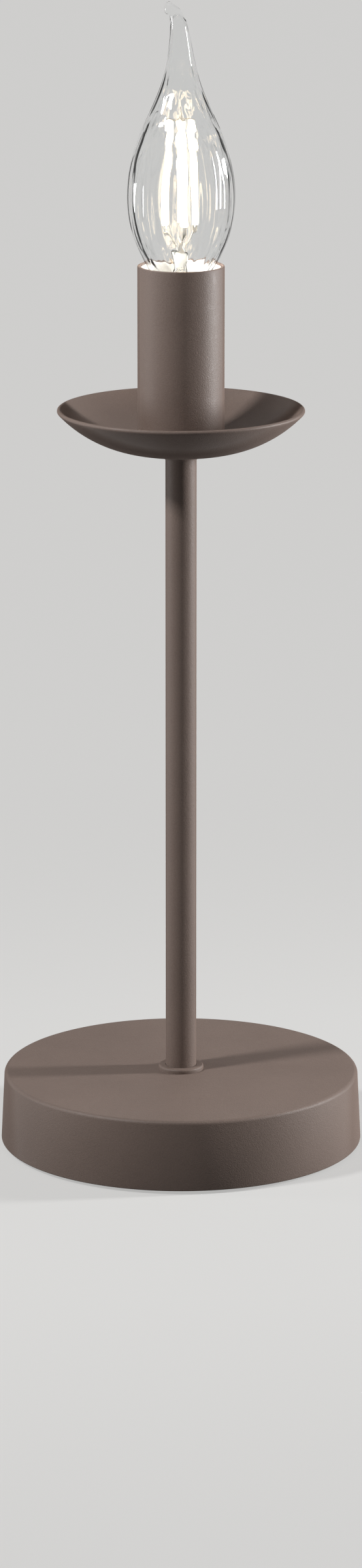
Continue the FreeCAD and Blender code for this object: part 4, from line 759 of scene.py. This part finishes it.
# Filaments: four sticks of small diodes on a glass strip, coated all over with a yellow phosphor gel. Lit,
# they glow a warm white with a fine deeper mottle.
STICK_FOOT = 0.3090
STICK_LENGTH = 0.0340
STICK_RADIUS = 0.00095
STICK_END_ROUND = 0.0006
STICK_ROUND_STEPS = 4
STICK_SIDES = 24
STICK_FOOT_CIRCLE = 0.0051
STICK_HEAD_CIRCLE = 0.0034
STICK_ANGLES = [10, 100, 190, 280]
BEADS_PER_METRE = 900
PHOSPHOR_YELLOW = (0.90, 0.70, 0.30, 1)
GLOW_DEEP = (1.0, 0.7912, 0.528, 1)
GLOW_WARM = (1.0, 0.86, 0.66, 1)
GLOW_STRENGTH = 9.0
phosphor, tree, shader = new_material("lit_phosphor")
beads = use_group(tree, grain, Grains_per_metre=BEADS_PER_METRE)
feed_all(tree, shader, Base_Color=PHOSPHOR_YELLOW, Roughness=0.6, Emission_Strength=GLOW_STRENGTH,
         Emission_Color=blend_colours(tree, beads["Specks"], GLOW_DEEP, GLOW_WARM))


def place_round(radius, angle, height):
    """A point at a radius and an angle round the lamp's axis."""
    turn = math.radians(angle)
    return Vector((radius * math.cos(turn), radius * math.sin(turn), height))


sticks = []
for angle in STICK_ANGLES:
    foot = place_round(STICK_FOOT_CIRCLE, angle, STICK_FOOT)
    head = place_round(STICK_HEAD_CIRCLE, angle, STICK_FOOT + STICK_LENGTH)
    lean = (head - foot).to_track_quat("Z", "Y").to_euler()
    bpy.ops.object.select_all(action="DESELECT")
    bpy.ops.mesh.primitive_cylinder_add(vertices=STICK_SIDES, radius=STICK_RADIUS,
                                        depth=(head - foot).length, location=(foot + head) / 2,
                                        rotation=lean)
    stick = bpy.context.object
    rounded_ends = stick.modifiers.new("rounded ends", "BEVEL")
    rounded_ends.width = STICK_END_ROUND
    rounded_ends.segments = STICK_ROUND_STEPS
    bpy.ops.object.modifier_apply(modifier=rounded_ends.name)
    bpy.ops.object.transform_apply(location=True, rotation=True, scale=True)
    sticks.append(stick)
select_only(sticks[0])
for stick in sticks[1:]:
    stick.select_set(True)
bpy.ops.object.join()
filaments = bpy.context.object
filaments.name = "lit_filament_sticks"
smooth(filaments, degrees=60)
dress(filaments, phosphor, "phosphor", "bulb", ["led_filaments"])

# Leads and hub: thin nickel wires carry the sticks at their feet, and a small welded cross joins their
# heads under the tip of the glass.
dress(nodes["filament_leads"], nickel)
dress(nodes["filament_hub"], nickel)

# Floor: a pale plain table top that glows evenly where it is seen, also through glass and in glossy
# surfaces, and keeps the lamp's shadow. It throws little light back at the lamp. From below it is clear,
# also for the light that the foot throws back, so that the foot can be looked at.
FLOOR_SIZE = 16.0
FLOOR_GAP = 0.00005
FLOOR_DULL = (0.10, 0.10, 0.10, 1)
FLOOR_NEAR = (0.26, 0.258, 0.254, 1)
FLOOR_FAR = (0.02, 0.02, 0.02, 1)
NO_GLOW = (0, 0, 0, 1)
GLOW_NEAR = (0.44, 0.437, 0.430, 1)
GLOW_FAR = (0.62, 0.615, 0.606, 1)
NEAR_TO_FAR = (0.16, 0.50)


def sees_backdrop(tree):
    """1 for rays from the camera, through glass and off glossy surfaces, which see the pale backdrop."""
    rays = tree.nodes.new("ShaderNodeLightPath").outputs
    direct = combine(tree, "MAXIMUM", rays["Is Camera Ray"], rays["Is Transmission Ray"])
    return combine(tree, "MAXIMUM", direct, rays["Is Glossy Ray"])


bpy.ops.object.select_all(action="DESELECT")
bpy.ops.mesh.primitive_plane_add(size=FLOOR_SIZE, location=(0, 0, -FLOOR_GAP))
floor = bpy.context.object
floor.name = "pale_floor"
floor_finish, tree, shader = new_material("pale_floor")
distance = tree.nodes.new("ShaderNodeVectorMath")
distance.operation = "LENGTH"
feed(tree, object_place(tree), distance.inputs[0])
far = remap(tree, distance.outputs["Value"], NEAR_TO_FAR)
seen = sees_backdrop(tree)
pale = blend_colours(tree, far, FLOOR_NEAR, FLOOR_FAR)
glow = blend_colours(tree, far, GLOW_NEAR, GLOW_FAR)
feed_all(tree, shader, Roughness=0.6, Specular_IOR_Level=0.0, Emission_Strength=1.0,
         Base_Color=blend_colours(tree, seen, FLOOR_DULL, pale),
         Emission_Color=blend_colours(tree, seen, NO_GLOW, glow))
below = tree.nodes.new("ShaderNodeNewGeometry").outputs["Backfacing"]
passed = tree.nodes.new("ShaderNodeLightPath").outputs["Transparent Depth"]
through = tree.nodes.new("ShaderNodeBsdfTransparent").outputs["BSDF"]
clear_share = combine(tree, "MAXIMUM", below, passed)
mix_shaders(tree, clear_share, shader.outputs["BSDF"], through, "Material Output")
floor.data.materials.append(floor_finish)

# Backdrop: the world has the pale grey of the floor's far end where it is seen, and is a weak white fill
# light elsewhere.
FILL_WHITE = (1.0, 1.0, 1.0, 1)
FILL_STRENGTH = 0.06
world = bpy.data.worlds.new("pale_backdrop")
bpy.context.scene.world = world
world.use_nodes = True
tree = world.node_tree
fill = tree.nodes["Background"]
feed_all(tree, fill, Color=FILL_WHITE, Strength=FILL_STRENGTH)
backdrop = add_node(tree, "ShaderNodeBackground", Color=GLOW_FAR, Strength=1.0)
mix_shaders(tree, sees_backdrop(tree), fill.outputs["Background"], backdrop.outputs["Background"],
            "World Output")

# Lamps of the studio: a small key box at the front left, which casts the stem's dark shadow, a tall narrow
# strip at the right, a weak low box at the left and a long weak strip overhead.
LAMP_MIDDLE = (0, 0, 0.20)
LOWER_STEM = (0, 0, 0.10)


def soft_box(name, place, aim, size, power):
    """An area lamp of the given width and height that looks at a point, and isn't seen through glass."""
    lamp_data = bpy.data.lights.new(name, "AREA")
    lamp_data.shape = "RECTANGLE"
    lamp_data.size, lamp_data.size_y = size
    lamp_data.energy = power
    lamp = bpy.data.objects.new(name, lamp_data)
    lamp.location = place
    lamp.rotation_euler = (Vector(aim) - Vector(place)).to_track_quat("-Z", "Y").to_euler()
    lamp.visible_transmission = False
    bpy.context.scene.collection.objects.link(lamp)


soft_box("key_box", place=(-0.69, -0.33, 0.86), aim=LAMP_MIDDLE, size=(0.12, 0.10), power=7.9)
soft_box("right_strip", place=(0.90, 0.08, 0.33), aim=LAMP_MIDDLE, size=(0.08, 0.42), power=11.5)
soft_box("left_fill", place=(-0.85, 0.03, 0.20), aim=LAMP_MIDDLE, size=(0.14, 0.26), power=1.8)
soft_box("overhead_strip", place=(0.0, -0.40, 1.70), aim=LOWER_STEM, size=(1.0, 0.12), power=1.2)
